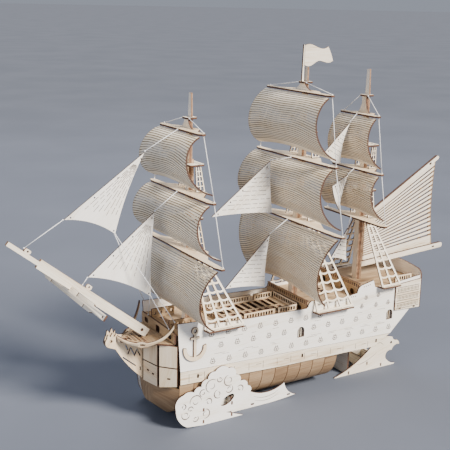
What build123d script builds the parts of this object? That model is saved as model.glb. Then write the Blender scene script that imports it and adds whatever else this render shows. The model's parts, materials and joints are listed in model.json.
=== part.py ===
"""A three-masted galleon assembled from laser-cut plywood plates, on its wave-shaped stand.

X runs along the ship, with the bow at -X. Y runs across it, with port at -Y. Z is up.
The origin is on the table, under the middle of the whole model. All sizes are in millimetres.
"""

import os
from math import atan2, cos, degrees, radians, sin, tan

from build123d import *

os.makedirs("parts", exist_ok=True)

# ---------------------------------------------------------------- driving dimensions
PLY = 2.0               # thickness of the structural plywood
THIN = 1.6              # thickness of the flexible plywood of the sails and nets
GAP = 0.3               # clearance between the ship and its stand

HULL_HALF = 43.0        # half the beam, to the outer face of the side panels
INNER_HALF = HULL_HALF - PLY
BOW_X = -120.5          # front edge of the side panels
STERN_X = 215.0         # aft edge of the side panels
ROUND_END_X = 92.0      # where the round bottom stops and the stern overhang begins
OVERHANG_X = 148.5      # where the flat underside of the stern stops
UNDERSIDE_Z = 43.0      # underside of the stern overhang
TURN_Z = 45.0           # height where the round bottom meets the straight sides
BILGE_Z = 50.0          # top edge of the bottom slats
BOTTOM_DEPTH = 40.0     # depth of the round bottom below TURN_Z
SLANT_X = 171.7         # where the stern starts to slant up
SEAM_BOW_Z, SEAM_STERN_Z = 65.7, 56.1

FORE_DECK_Z, WAIST_Z, QUARTER_Z, POOP_Z, BEAK_Z = 107.0, 103.0, 110.0, 118.5, 97.0
FORE_BREAK_X, QUARTER_BREAK_X, POOP_BREAK_X = -66.0, 44.0, 120.0

REF_Z = 230.0           # height at which the mast stations are given
# station, rake in degrees, foot, collar height, tip height
MASTS = {
    "fore": dict(x=-89.5, rake=0.4, foot=62.0, collar=329.5, tip=355.5),
    "main": dict(x=55.5, rake=1.5, foot=62.0, collar=362.0, tip=379.0),
    "mizzen": dict(x=149.0, rake=0.0, foot=62.0, collar=344.0, tip=374.5),
}
YARD_FRONT = 13.5       # from the mast's axis forward to the front edge of a yard
YARD_TIP = 4.0          # depth of a yard at its end
YARD_MIDDLE = 23.0      # depth of a yard at the mast
# height and half length of each yard, from the lowest up
YARDS = {
    "fore": [(189.0, 90.0), (252.0, 70.0), (318.0, 46.0)],
    "main": [(205.5, 97.0), (278.0, 77.0), (352.5, 62.0)],
    "mizzen": [(197.5, 58.0), (257.0, 46.0), (322.5, 34.5)],
}
MAST_WIDTH = 8.0
# a square sail: half width at head and foot, head and foot height, rise of the foot's arch, belly
SAILS = {
    "fore_course_sail": ("fore", 86.0, 64.0, 186.5, 114.0, 13.0, 18.0, 10.0),
    "fore_topsail": ("fore", 67.0, 86.0, 249.5, 197.5, 9.0, 19.0, 3.0),
    "fore_topgallant_sail": ("fore", 44.0, 67.0, 315.5, 260.5, 11.0, 21.0, 3.0),
    "main_course_sail": ("main", 93.0, 70.0, 203.0, 120.5, 16.0, 17.0, 5.0),
    "main_topsail": ("main", 75.0, 93.0, 275.5, 213.5, 10.0, 20.0, 0.8),
    "main_topgallant_sail": ("main", 60.0, 75.0, 350.0, 286.0, 9.0, 20.0, 2.0),
    "mizzen_topsail": ("mizzen", 44.0, 54.0, 254.5, 205.0, 6.0, 13.0, 2.0),
    "mizzen_topgallant_sail": ("mizzen", 33.0, 44.0, 320.0, 264.0, 6.0, 14.0, 2.0),
}
SPAR_TIP, SPAR_FOOT = (-287.8, 218.6), (-139.5, 99.6)
SPAR_DEPTH, SPAR_TIP_DEPTH, SPAR_THICK = 10.0, 4.5, 4.0
BOOM_END = (289.5, 144.5)

CLOUD_Y, WAVE_Y, STERN_WAVE_Y = 45.5, 35.0, 18.0   # inner faces of the stand's long plates
CRADLE_X = (-94.0, -58.0)
CROSS_X = (129.0, 158.0, 181.0)
PORT, STARBOARD = -1, 1
SIDES = {"port": PORT, "starboard": STARBOARD}


# ---------------------------------------------------------------- small helpers
def save(part, name):
    """Label a finished piece and write it under its node name."""
    part.label = name
    export_step(part, f"parts/{name}.step")


def fore_aft(y_inner, side=PORT):
    """A plane for an upright fore-and-aft plate with this inner face, extruded by its thickness."""
    y_start = -y_inner if side == PORT else y_inner + PLY
    return Plane(origin=(0, y_start, 0), x_dir=(1, 0, 0), z_dir=(0, -1, 0))


def athwart(x):
    """A plane for a plate that stands across the ship, its sketch as (Y, Z), growing aft."""
    return Plane.YZ.offset(x)


def seam_z(x):
    """Height of the seam between the side panel and the strake below it."""
    return SEAM_BOW_Z + (SEAM_STERN_Z - SEAM_BOW_Z) * (x - BOW_X) / (SLANT_X - BOW_X)


def mast_x(mast, z):
    """Where the axis of a mast is at height z."""
    return MASTS[mast]["x"] + tan(radians(MASTS[mast]["rake"])) * (z - REF_Z)


def hull_side_edge(half, depth):
    """The curved underside of a cross section, from one turn of the bilge to the other."""
    return EllipticalCenterArc((0, TURN_Z), half, depth, start_angle=180, arc_size=180)


# ---------------------------------------------------------------- stand
def cloud_plate(side):
    with BuildPart() as plate:
        with BuildSketch(fore_aft(CLOUD_Y, side)):
            with BuildLine():
                Polyline((-43, 0), (-95, 0), (-114, 2))
                ThreePointArc((-114, 2), (-125, 12.5), (-128, 25.5))
                ThreePointArc((-128, 25.5), (-126.5, 36), (-119, 40.5))
                ThreePointArc((-119, 40.5), (-112, 43), (-106, 41))
                ThreePointArc((-106, 41), (-103, 45.5), (-97, 45.5))
                ThreePointArc((-97, 45.5), (-95, 51.5), (-89, 53))
                ThreePointArc((-89, 53), (-86, 59), (-80, 60))
                ThreePointArc((-80, 60), (-71, 64.5), (-63, 60.5))
                ThreePointArc((-63, 60.5), (-55, 58), (-53.5, 51))
                ThreePointArc((-53.5, 51), (-48, 48), (-47.5, 42))
                ThreePointArc((-47.5, 42), (-40, 40.5), (-38, 34.5))
                ThreePointArc((-38, 34.5), (-34, 32.5), (-33, 28.5))
                ThreePointArc((-33, 28.5), (-45, 13), (-65, 8.5))
                Line((-65, 8.5), (-43, 0))
            make_face()
            with Locations(Location((-64, 23), 28)):
                Ellipse(9.5, 4.5, mode=Mode.SUBTRACT)
            with Locations(*[(x, z) for x in CRADLE_X for z in (4, 18)]):
                Rectangle(PLY, 4, mode=Mode.SUBTRACT)
        extrude(amount=PLY)
    return plate.part


def wave_plate(side):
    with BuildPart() as plate:
        with BuildSketch(fore_aft(WAVE_Y, side)):
            with BuildLine():
                Polyline((0, 0), (-108, 0), (-104, 7))
                ThreePointArc((-104, 7), (-88, 14), (-70, 18))
                ThreePointArc((-70, 18), (-52, 21.5), (-31, 23))
                ThreePointArc((-31, 23), (-6, 14.5), (19.5, 21.5))
                ThreePointArc((19.5, 21.5), (24, 11), (37, 3))
                ThreePointArc((37, 3), (18, 1), (0, 0))
            make_face()
            with Locations((26, 5.0), (-24, 4)):
                Rectangle(4, 1.6, mode=Mode.SUBTRACT)
            with Locations(*[(x, 17) for x in CRADLE_X]):
                Rectangle(PLY, 16, mode=Mode.SUBTRACT)
        extrude(amount=PLY)
    return plate.part


def stern_wave(side):
    with BuildPart() as plate:
        with BuildSketch(fore_aft(STERN_WAVE_Y, side)):
            with BuildLine():
                Polyline((203, 0), (107, 0), (107, 0.8))
                ThreePointArc((107, 0.8), (141, 14.5), (166, 33))
                ThreePointArc((166, 33), (181, 40.5), (198, 38))
                ThreePointArc((198, 38), (200.5, 34), (203.5, 33))
                ThreePointArc((203.5, 33), (208, 31), (210, 26))
                ThreePointArc((210, 26), (202, 25.5), (198, 20))
                ThreePointArc((198, 20), (188, 15), (191, 8))
                ThreePointArc((191, 8), (196, 4), (204, 2))
                Line((204, 2), (203, 0))
            make_face()
            with Locations(*[(x, z) for x, z in zip(CROSS_X, (3.0, 10.0, 3.5))]):
                Rectangle(PLY, 4, mode=Mode.SUBTRACT)
            with Locations((196, 31)):
                Circle(1.6, mode=Mode.SUBTRACT)
        extrude(amount=PLY)
    return plate.part


for name, side in SIDES.items():
    save(cloud_plate(side), f"stand_cloud_plate_{name}")
    save(wave_plate(side), f"stand_wave_plate_{name}")
    save(stern_wave(side), f"stand_stern_wave_{name}")

with BuildPart() as cross_cradles:
    for x in CRADLE_X:
        with BuildSketch(athwart(x - PLY / 2)):
            with Locations((0, 12)):
                Rectangle(2 * CLOUD_Y, 24)
            with Locations((0, 4), (0, 18)):
                Rectangle(2 * (CLOUD_Y + PLY), 4)
            with Locations((0, TURN_Z)):
                Ellipse(INNER_HALF + GAP, BOTTOM_DEPTH + GAP, mode=Mode.SUBTRACT)
            with Locations((WAVE_Y + PLY / 2, 4.5), (-WAVE_Y - PLY / 2, 4.5)):
                Rectangle(PLY, 9, mode=Mode.SUBTRACT)
        extrude(amount=PLY)
    for x, height, tab_z in zip(CROSS_X, (UNDERSIDE_Z - GAP, 14.0, 12.0), (3.0, 10.0, 3.5)):
        with BuildSketch(athwart(x - PLY / 2)):
            with Locations((0, height / 2)):
                Rectangle(2 * STERN_WAVE_Y, height)
            with Locations((0, tab_z)):
                Rectangle(2 * (STERN_WAVE_Y + PLY), 4)
        extrude(amount=PLY)
save(cross_cradles.part, "stand_cross_cradles")

# ---------------------------------------------------------------- hull frame
ROUND_BULKHEADS = (-116.0, -70.0, -34.0, -6.0, 20.0, 72.0)
STERN_BULKHEADS = (108.0, 134.0)
AFT_BULKHEADS = (178.0, 200.0)
LAP_Z = 30.0            # height where keel and bulkheads cross

with BuildPart() as keel:
    with BuildSketch(fore_aft(-PLY / 2)):
        with BuildLine():
            Line((-119.5, 60), (-119.5, 26))
            ThreePointArc((-119.5, 26), (-114, 13), (-102, 7.2))
            Polyline((-102, 7.2), (ROUND_END_X - PLY, 7.2), (ROUND_END_X - PLY, 60), (-119.5, 60))
        make_face()
        with Locations(*[(x + PLY / 2, (LAP_Z + 60) / 2) for x in ROUND_BULKHEADS]):
            Rectangle(PLY, 60 - LAP_Z, mode=Mode.SUBTRACT)
    extrude(amount=PLY)
save(keel.part, "keel_plate")


def deck_under(x):
    """Underside of the deck that covers station x."""
    if x < FORE_BREAK_X:
        return FORE_DECK_Z - PLY
    if x < QUARTER_BREAK_X:
        return WAIST_Z - PLY
    return QUARTER_Z - PLY if x < POOP_BREAK_X else POOP_Z - PLY


with BuildPart() as bulkheads:
    for x in ROUND_BULKHEADS:
        with BuildSketch(athwart(x)):
            with Locations((0, (BILGE_Z + deck_under(x)) / 2)):
                Rectangle(2 * INNER_HALF, deck_under(x) - BILGE_Z)
            with Locations((0, (TURN_Z + BILGE_Z) / 2)):
                Rectangle(2 * (INNER_HALF - PLY), BILGE_Z - TURN_Z)
            with BuildLine():
                hull_side_edge(INNER_HALF - PLY, BOTTOM_DEPTH - PLY)
                Line((-INNER_HALF + PLY, TURN_Z), (INNER_HALF - PLY, TURN_Z))
            make_face()
            with Locations((0, LAP_Z / 2)):
                Rectangle(PLY, LAP_Z, mode=Mode.SUBTRACT)
            with Locations((0, 78)):
                RectangleRounded(56, 20, 6, mode=Mode.SUBTRACT)
        extrude(amount=PLY)
    for x in STERN_BULKHEADS + AFT_BULKHEADS:
        low = UNDERSIDE_Z + PLY if x in STERN_BULKHEADS else 84.0
        top = deck_under(x)
        with BuildSketch(athwart(x)):
            with Locations((0, (low + top) / 2)):
                Rectangle(2 * INNER_HALF, top - low)
            with Locations((0, (low + top) / 2)):
                RectangleRounded(60, (top - low) * 0.5, 4, mode=Mode.SUBTRACT)
        extrude(amount=PLY)
save(bulkheads.part, "hull_bulkheads")

SLATS = 12
SLAT_WIDTH = (ROUND_END_X - BOW_X) / SLATS
with BuildPart() as slats:
    for i in range(SLATS):
        with BuildSketch(athwart(BOW_X + i * SLAT_WIDTH)):
            with BuildLine():
                hull_side_edge(INNER_HALF, BOTTOM_DEPTH)
                Line((INNER_HALF, TURN_Z), (INNER_HALF, BILGE_Z))
                Line((INNER_HALF, BILGE_Z), (-INNER_HALF, BILGE_Z))
                Line((-INNER_HALF, BILGE_Z), (-INNER_HALF, TURN_Z))
            make_face()
            with BuildLine():
                hull_side_edge(INNER_HALF - PLY, BOTTOM_DEPTH - PLY)
                Line((INNER_HALF - PLY, TURN_Z), (INNER_HALF - PLY, BILGE_Z))
                Line((INNER_HALF - PLY, BILGE_Z), (-INNER_HALF + PLY, BILGE_Z))
                Line((-INNER_HALF + PLY, BILGE_Z), (-INNER_HALF + PLY, TURN_Z))
            make_face(mode=Mode.SUBTRACT)
        extrude(amount=SLAT_WIDTH - 0.25)
save(slats.part, "hull_bottom_slats")

CHEEK_START, CHEEK_END = (BOW_X - 0.3, INNER_HALF, BOTTOM_DEPTH), (-139.5, 17.0, 24.0)
with BuildPart() as bow_cheeks:
    for inset, mode in ((0.0, Mode.ADD), (PLY, Mode.SUBTRACT)):
        for x, half, depth in (CHEEK_START, CHEEK_END):
            with BuildSketch(athwart(x + inset * 0.7)):
                with BuildLine():
                    hull_side_edge(half - inset, depth - inset)
                    Line((-half + inset, TURN_Z), (half - inset, TURN_Z))
                make_face()
        loft(mode=mode)
save(bow_cheeks.part, "bow_bottom_cheeks")

with BuildPart() as stern_underside:
    with BuildSketch(Plane.XY.offset(UNDERSIDE_Z)):
        with Locations(((ROUND_END_X + OVERHANG_X) / 2, 0)):
            Rectangle(OVERHANG_X - ROUND_END_X, 2 * INNER_HALF)
    extrude(amount=PLY)
    with BuildSketch(athwart(ROUND_END_X - PLY)):
        with Locations((0, (TURN_Z + 78) / 2)):
            Rectangle(2 * (INNER_HALF - PLY), 78 - TURN_Z)
        with BuildLine():
            hull_side_edge(INNER_HALF - PLY, BOTTOM_DEPTH - PLY)
            Line((-INNER_HALF + PLY, TURN_Z), (INNER_HALF - PLY, TURN_Z))
        make_face()
    extrude(amount=PLY)
save(stern_underside.part, "stern_underside")

# ---------------------------------------------------------------- hull skin
WINDOWS = ((35.7, 82.6), (168.5, 81.2))
WINDOW_WIDTH, WINDOW_HEIGHT = 9.6, 12.5


def side_panel(side):
    with BuildPart() as panel:
        with BuildSketch(fore_aft(INNER_HALF, side)):
            with BuildLine():
                Polyline((BOW_X, seam_z(BOW_X)), (SLANT_X, seam_z(SLANT_X)), (200.2, 83), (STERN_X, 83),
                         (STERN_X, 124.8), (176, 121), (150, 119.3), (143, 120), (140, 128.8), (123, 125.2))
                ThreePointArc((123, 125.2), (118.5, 122.3), (116.5, 116.6))
                Polyline((116.5, 116.6), (108, 115.6), (104, 114.4), (56, 113.2))
                ThreePointArc((56, 113.2), (50, 117.4), (45, 111.6))
                Polyline((45, 111.6), (42, 109.6), (-50, 112), (-90, 114), (-94, 115),
                         (-97.7, 119.4), (-124, 120.4), (BOW_X, seam_z(BOW_X)))
            make_face()
            for x, z in WINDOWS:
                with Locations((x, z - WINDOW_WIDTH / 4)):
                    Rectangle(WINDOW_WIDTH, WINDOW_HEIGHT - WINDOW_WIDTH / 2, mode=Mode.SUBTRACT)
                with Locations((x, z + WINDOW_HEIGHT / 2 - WINDOW_WIDTH / 2)):
                    Circle(WINDOW_WIDTH / 2, mode=Mode.SUBTRACT)
            with Locations(*[(x, 113.2) for x in (107.5, 110.5, 113.5)]):
                Circle(0.7, mode=Mode.SUBTRACT)
            with Locations(*[(x, 122.6 + 0.15 * (x - 124)) for x in (126, 129, 132, 135)]):
                Circle(0.7, mode=Mode.SUBTRACT)
        extrude(amount=PLY)
    return panel.part


for name, side in SIDES.items():
    save(side_panel(side), f"side_panel_{name}")

with BuildPart() as strakes:
    for side in (PORT, STARBOARD):
        with BuildSketch(fore_aft(INNER_HALF, side)):
            with BuildLine():
                Polyline((BOW_X, seam_z(BOW_X) - 0.2), (BOW_X, 50.6), (11.7, 45.4), (OVERHANG_X, UNDERSIDE_Z),
                         (SLANT_X - 0.3, seam_z(SLANT_X) - 0.2), (BOW_X, seam_z(BOW_X) - 0.2))
            make_face()
            with Locations((-99, 57), (39, 53), (150, 50.5)):
                Rectangle(PLY, 4, mode=Mode.SUBTRACT)
        extrude(amount=PLY)
save(strakes.part, "lower_strakes")

# plan of the bow: each panel runs from one corner to the next
BOW_CORNERS = ((-122.7, 41.4), (-137.2, 26.0), (-142.4, 1.4))
BOW_BOTTOM = (49.5, 46.5, 46.2)
BOW_SPLIT_Z, BOW_TOP_Z = 69.6, BEAK_Z - PLY


def bow_panel_plane(start, end, side):
    """An upright plane along one facet of the bow, its sketch running from start to end."""
    along = Vector(end[0] - start[0], side * (end[1] - start[1]), 0)
    return Plane(origin=(start[0], side * start[1], 0), x_dir=along, z_dir=along.cross(Vector(0, 0, 1)))


with BuildPart() as bow_panels:
    for side in (PORT, STARBOARD):
        for i in range(2):
            start, end = BOW_CORNERS[i], BOW_CORNERS[i + 1]
            length = (Vector(*end) - Vector(*start)).length
            left, right = (0.4, length - 0.9) if i == 0 else (0.9, length - 0.2)
            with BuildSketch(bow_panel_plane(start, end, side)):
                with BuildLine():
                    Polyline((left, BOW_BOTTOM[i]), (right, BOW_BOTTOM[i + 1]), (right, BOW_SPLIT_Z),
                             (left, BOW_SPLIT_Z), (left, BOW_BOTTOM[i]))
                make_face()
                with Locations(((left + right) / 2, (BOW_SPLIT_Z + BOW_TOP_Z) / 2 + 0.6)):
                    Rectangle(right - left, BOW_TOP_Z - BOW_SPLIT_Z - 1.2)
                with Locations(*(((length * 0.45, 57.5),) if i == 0 else ((8.0, 59.0), (17.0, 60.5)))):
                    Rectangle(3.6, 1.6, mode=Mode.SUBTRACT)
            extrude(amount=PLY * (-1 if side == PORT else 1))
save(bow_panels.part, "bow_panels")

with BuildPart() as stem:
    with BuildSketch(fore_aft(-PLY / 2)):
        with BuildLine():
            Line((-176.5, 88), (-176.5, 104))
            ThreePointArc((-176.5, 104), (-165, 95.5), (-151, 94.3))
            Polyline((-151, 94.3), (-144.6, 94.3), (-144.6, 48))
            ThreePointArc((-144.6, 48), (-160.5, 64.5), (-176.5, 88))
        make_face()
        for x, z, tall, lean in ((-163.5, 87.5, 7, 24), (-160.5, 83, 8, -24), (-156.5, 81.5, 9, 24),
                                 (-153, 79.5, 9, -24), (-149.5, 79, 9, 24)):
            with Locations(Location((x, z), lean)):
                Rectangle(1.3, tall, mode=Mode.SUBTRACT)
        with Locations(Location((-160.5, 70.5), -40)):
            SlotOverall(20, 1.3, mode=Mode.SUBTRACT)
        with Locations((-147.6, 60)):
            Rectangle(1.5, 4, mode=Mode.SUBTRACT)
    extrude(amount=PLY)
save(stem.part, "stem_knee")

FIGURE_Z = 88.0
with BuildPart() as figurehead:
    for y_high, tall in ((PLY / 2, 1.0), (-PLY / 2 - 0.01, 0.8), (PLY * 1.5 + 0.01, 0.8)):
        with BuildSketch(Plane(origin=(0, y_high, FIGURE_Z), x_dir=(1, 0, 0), z_dir=(0, -1, 0))):
            with BuildLine():
                Polyline((-184, 4 * tall), (-176.6, 0), (-176.6, 22 * tall), (-178.6, 18.5 * tall),
                         (-180.4, 24.7 * tall), (-182.8, 19.5 * tall), (-185.6, 23 * tall), (-187, 17 * tall))
                ThreePointArc((-187, 17 * tall), (-188.6, 10 * tall), (-184, 4 * tall))
            make_face()
            with Locations((-182, 13 * tall)):
                Circle(1.4, mode=Mode.SUBTRACT)
        extrude(amount=PLY)
save(figurehead.part, "figurehead")

RAIL_START, RAIL_END = (-175.4, 3.0), (-127.5, 42.5)
RAIL_RUN = (Vector(*RAIL_END) - Vector(*RAIL_START)).length
with BuildPart() as head_rails:
    for side in (PORT, STARBOARD):
        with BuildSketch(bow_panel_plane(RAIL_START, RAIL_END, side)):
            with BuildLine():
                ThreePointArc((0, 104.5), (27, 97.4), (RAIL_RUN, 121.5))
                Line((RAIL_RUN, 121.5), (RAIL_RUN, 117))
                ThreePointArc((RAIL_RUN, 117), (27, 93.6), (0, 100.5))
                Line((0, 100.5), (0, 104.5))
            make_face()
            with Locations((28, 95.6)):
                Ellipse(7.5, 3.4)
            with Locations((28, 95.6)):
                Rectangle(5, 1.6, mode=Mode.SUBTRACT)
        extrude(amount=PLY / 2, both=True)
save(head_rails.part, "head_rails")

# ---------------------------------------------------------------- decks
with BuildPart() as beak_deck:
    with BuildSketch(Plane.XY.offset(BEAK_Z - PLY)):
        with BuildLine():
            Polyline((-171, 3.2), (-132.5, 34.9), (-126.2, 38.5), (-126.2, -38.5),
                     (-132.5, -34.9), (-171, -3.2), (-171, 3.2))
        make_face()
        for i in range(5):
            with Locations((-164.5 + 4 * i, 0)):
                with GridLocations(0, 3.4, 1, 2 * (i + 1)):
                    Rectangle(2.6, 2.2, mode=Mode.SUBTRACT)
        with Locations((-144, 0)):
            Rectangle(11, SPAR_THICK + 0.2, mode=Mode.SUBTRACT)
        with Locations((-166, 0)):
            Rectangle(14, PLY + 0.1, mode=Mode.SUBTRACT)
    extrude(amount=PLY)
save(beak_deck.part, "beak_grating")

def deck_plate(name, x0, x1, top, cuts):
    """A horizontal deck between the side panels; cuts are (x, y, size_x, size_y)."""
    with BuildPart() as deck:
        with BuildSketch(Plane.XY.offset(top - PLY)):
            with Locations(((x0 + x1) / 2, 0)):
                Rectangle(x1 - x0, 2 * INNER_HALF)
            for x, y, size_x, size_y in cuts:
                with Locations((x, y)):
                    Rectangle(size_x, size_y, mode=Mode.SUBTRACT)
        extrude(amount=PLY)
    save(deck.part, name)


def mast_hole(mast, z):
    return (mast_x(mast, z), 0, MAST_WIDTH + 0.8, MAST_WIDTH + 0.4)


HATCH_SLOTS = [(x, y, 5.0, 21.0) for x in range(-50, 34, 9) for y in (-12.5, 12.5)]
deck_plate("forecastle_deck", -123.9, FORE_BREAK_X, FORE_DECK_Z,
           [mast_hole("fore", FORE_DECK_Z)] + [(-112, y, 6, 2.4) for y in range(-16, 20, 4)])
deck_plate("waist_deck", FORE_BREAK_X, QUARTER_BREAK_X, WAIST_Z, HATCH_SLOTS)
deck_plate("quarter_deck", QUARTER_BREAK_X + PLY, POOP_BREAK_X, QUARTER_Z,
           [mast_hole("main", QUARTER_Z)] + [(x, y, 7, 7) for x in (76, 86, 96) for y in (-9, 0, 9)])
deck_plate("poop_deck", POOP_BREAK_X + PLY, STERN_X, POOP_Z, [mast_hole("mizzen", POOP_Z)])


def break_bulkhead(x, low, top, doors):
    """A bulkhead at the break of a deck, with doors below and a balustrade above."""
    with BuildSketch(athwart(x)) as profile:
        with Locations((0, (low + top) / 2)):
            Rectangle(2 * INNER_HALF, top - low)
        with Locations(*[(y, low + 4.2) for y in doors]):
            RectangleRounded(7, 7, 2.5, mode=Mode.SUBTRACT)
        with Locations((0, top - 3.2)):
            with GridLocations(4.0, 0, 21, 1):
                Rectangle(2.2, 3.6, mode=Mode.SUBTRACT)
    extrude(profile.sketch, amount=PLY)


FENCE_Y = 20.0
with BuildPart() as deck_bulkheads:
    break_bulkhead(QUARTER_BREAK_X, WAIST_Z - PLY, 118.0, (-27, -9, 9, 27))
    break_bulkhead(POOP_BREAK_X, QUARTER_Z, 127.0, (-28, -10, 10, 28))
    with BuildSketch(athwart(-126)):
        with Locations((0, (BEAK_Z + 109) / 2)):
            Rectangle(2 * INNER_HALF - 3, 109 - BEAK_Z)
        with Locations((-28, 102.5), (28, 102.5)):
            RectangleRounded(8, 6, 2, mode=Mode.SUBTRACT)
        with Locations((0, 101.5)):
            RectangleRounded(9, 8, 2, mode=Mode.SUBTRACT)
    extrude(amount=PLY)
    for side in (PORT, STARBOARD):
        with BuildSketch(fore_aft(FENCE_Y, side)):
            with Locations((-109, FORE_DECK_Z + 5)):
                Rectangle(28, 10)
                with GridLocations(7, 0, 4, 1):
                    RectangleRounded(3.4, 4, 1.2, mode=Mode.SUBTRACT)
        extrude(amount=PLY)
save(deck_bulkheads.part, "deck_bulkheads")

RAIL_HEIGHT = 8.0


def balustrade(plane, x0, x1, base, pitch=3.6):
    """A rail with square openings, standing on a deck."""
    count = int((x1 - x0 - 3) / pitch)
    with BuildSketch(plane) as profile:
        with Locations(((x0 + x1) / 2, base + RAIL_HEIGHT / 2)):
            Rectangle(x1 - x0, RAIL_HEIGHT)
            with GridLocations(pitch, 0, count, 1):
                Rectangle(pitch - 1.3, RAIL_HEIGHT - 4, mode=Mode.SUBTRACT)
    extrude(profile.sketch, amount=PLY)


WAIST_RAIL_Y = 25.0
with BuildPart() as deck_rails:
    for side in (PORT, STARBOARD):
        for x0, x1 in ((-56, -36), (-32, 10), (14, 40)):
            balustrade(fore_aft(WAIST_RAIL_Y, side), x0, x1, WAIST_Z)
        balustrade(fore_aft(34, side), 181, 207, POOP_Z)
    balustrade(athwart(41.9), -WAIST_RAIL_Y, WAIST_RAIL_Y, WAIST_Z)
    balustrade(athwart(-60), -WAIST_RAIL_Y, WAIST_RAIL_Y, WAIST_Z)
save(deck_rails.part, "deck_rails")

# ---------------------------------------------------------------- stern
with BuildPart() as transom:
    with BuildSketch(athwart(STERN_X)):
        with BuildLine():
            Polyline((-44, 124.5), (-44, 83), (44, 83), (44, 124.5))
            ThreePointArc((44, 124.5), (41.5, 130), (35, 132.5))
            ThreePointArc((35, 132.5), (0, 135.6), (-35, 132.5))
            ThreePointArc((-35, 132.5), (-41.5, 130), (-44, 124.5))
        make_face()
        with Locations(*[(y, 98) for y in (-30, -15, 0, 15, 30)]):
            SlotOverall(14, 7.5, rotation=90, mode=Mode.SUBTRACT)
        with Locations((0, 117)):
            with GridLocations(11, 0, 7, 1):
                Circle(2, mode=Mode.SUBTRACT)
    extrude(amount=PLY)
save(transom.part, "transom")

with BuildPart() as galleries:
    for side in (PORT, STARBOARD):
        with BuildSketch(fore_aft(HULL_HALF, side)):
            with BuildLine():
                Polyline((175, 85.6), (STERN_X, 84), (STERN_X, 121), (175, 118.2), (175, 85.6))
            make_face()
            with Locations((183, 87), (206, 86)):
                Rectangle(3, 1.4, mode=Mode.SUBTRACT)
        extrude(amount=PLY)
save(galleries.part, "quarter_galleries")

# ---------------------------------------------------------------- fittings on the sides
CHANNELS = {"fore": (-93.0, -45.0, 109.0), "main": (51.0, 106.5, 105.0), "mizzen": (147.0, 178.0, 120.6)}
CHANNEL_REACH = 9.5
with BuildPart() as channels:
    for x0, x1, top in CHANNELS.values():
        for side in (PORT, STARBOARD):
            with BuildSketch(Plane.XY.offset(top - PLY)):
                with BuildLine():
                    Polyline((x0, side * HULL_HALF), (x0 + 2, side * (HULL_HALF + CHANNEL_REACH)),
                             (x1 - 2, side * (HULL_HALF + CHANNEL_REACH)), (x1, side * HULL_HALF),
                             (x0, side * HULL_HALF))
                make_face()
            extrude(amount=PLY)
save(channels.part, "shroud_channels")

with BuildPart() as window_bars:
    for side in (PORT, STARBOARD):
        with BuildSketch(fore_aft(INNER_HALF - PLY, side)):
            for x, z in WINDOWS:
                with Locations((x, z)):
                    Rectangle(WINDOW_WIDTH + 5, WINDOW_HEIGHT + 4)
                    with GridLocations(3.0, 0, 3, 1):
                        Rectangle(1.7, WINDOW_HEIGHT, mode=Mode.SUBTRACT)
        extrude(amount=PLY)
save(window_bars.part, "window_bars")

ANCHOR_X = -104.0
with BuildPart() as anchors:
    for side in (PORT, STARBOARD):
        with BuildSketch(fore_aft(HULL_HALF, side)):
            with Locations((ANCHOR_X, 110)):
                Circle(4.2)
            with Locations((ANCHOR_X, 94)):
                Rectangle(3.2, 30)
            with Locations((ANCHOR_X, 102)):
                Rectangle(11, 2.6)
            with BuildLine():
                ThreePointArc((ANCHOR_X - 14, 93), (ANCHOR_X, 76), (ANCHOR_X + 14, 93))
                Line((ANCHOR_X + 14, 93), (ANCHOR_X + 10, 92))
                ThreePointArc((ANCHOR_X + 10, 92), (ANCHOR_X, 81), (ANCHOR_X - 10, 92))
                Line((ANCHOR_X - 10, 92), (ANCHOR_X - 14, 93))
            make_face()
            with Locations((ANCHOR_X, 110)):
                Circle(2, mode=Mode.SUBTRACT)
        extrude(amount=PLY)
save(anchors.part, "anchors")

# ---------------------------------------------------------------- bowsprit
SPAR_ANGLE = degrees(atan2(SPAR_TIP[1] - SPAR_FOOT[1], SPAR_FOOT[0] - SPAR_TIP[0]))
SPAR_LENGTH = (Vector(*SPAR_TIP) - Vector(*SPAR_FOOT)).length
SPAR_X_DIR = (cos(radians(SPAR_ANGLE)), 0, -sin(radians(SPAR_ANGLE)))
SPAR_AXIS_PLANE = Plane(origin=(SPAR_TIP[0], SPAR_THICK / 2, SPAR_TIP[1]), x_dir=SPAR_X_DIR, z_dir=(0, -1, 0))
SPAR_STEP = 39.0

with BuildPart() as bowsprit:
    with BuildSketch(SPAR_AXIS_PLANE):
        with Locations(((SPAR_STEP + SPAR_LENGTH) / 2, 0)):
            Rectangle(SPAR_LENGTH - SPAR_STEP, SPAR_DEPTH)
        with Locations((SPAR_LENGTH - 8, 0)):
            Circle(1.8, mode=Mode.SUBTRACT)
    extrude(amount=SPAR_THICK)
    with BuildSketch(SPAR_AXIS_PLANE):
        with Locations((101, SPAR_DEPTH / 2 + 2.4)):
            RectangleRounded(7, 4.8, 2)
            Circle(1.1, mode=Mode.SUBTRACT)
    extrude(amount=PLY)
    with BuildSketch(SPAR_AXIS_PLANE):
        with Locations((SPAR_STEP / 2, 0)):
            Rectangle(SPAR_STEP, SPAR_TIP_DEPTH)
        with Locations((22, SPAR_TIP_DEPTH / 2 + 2)):
            RectangleRounded(7, 4.4, 1.8)
            Circle(1.1, mode=Mode.SUBTRACT)
    extrude(amount=SPAR_THICK)
save(bowsprit.part, "bowsprit")

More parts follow.
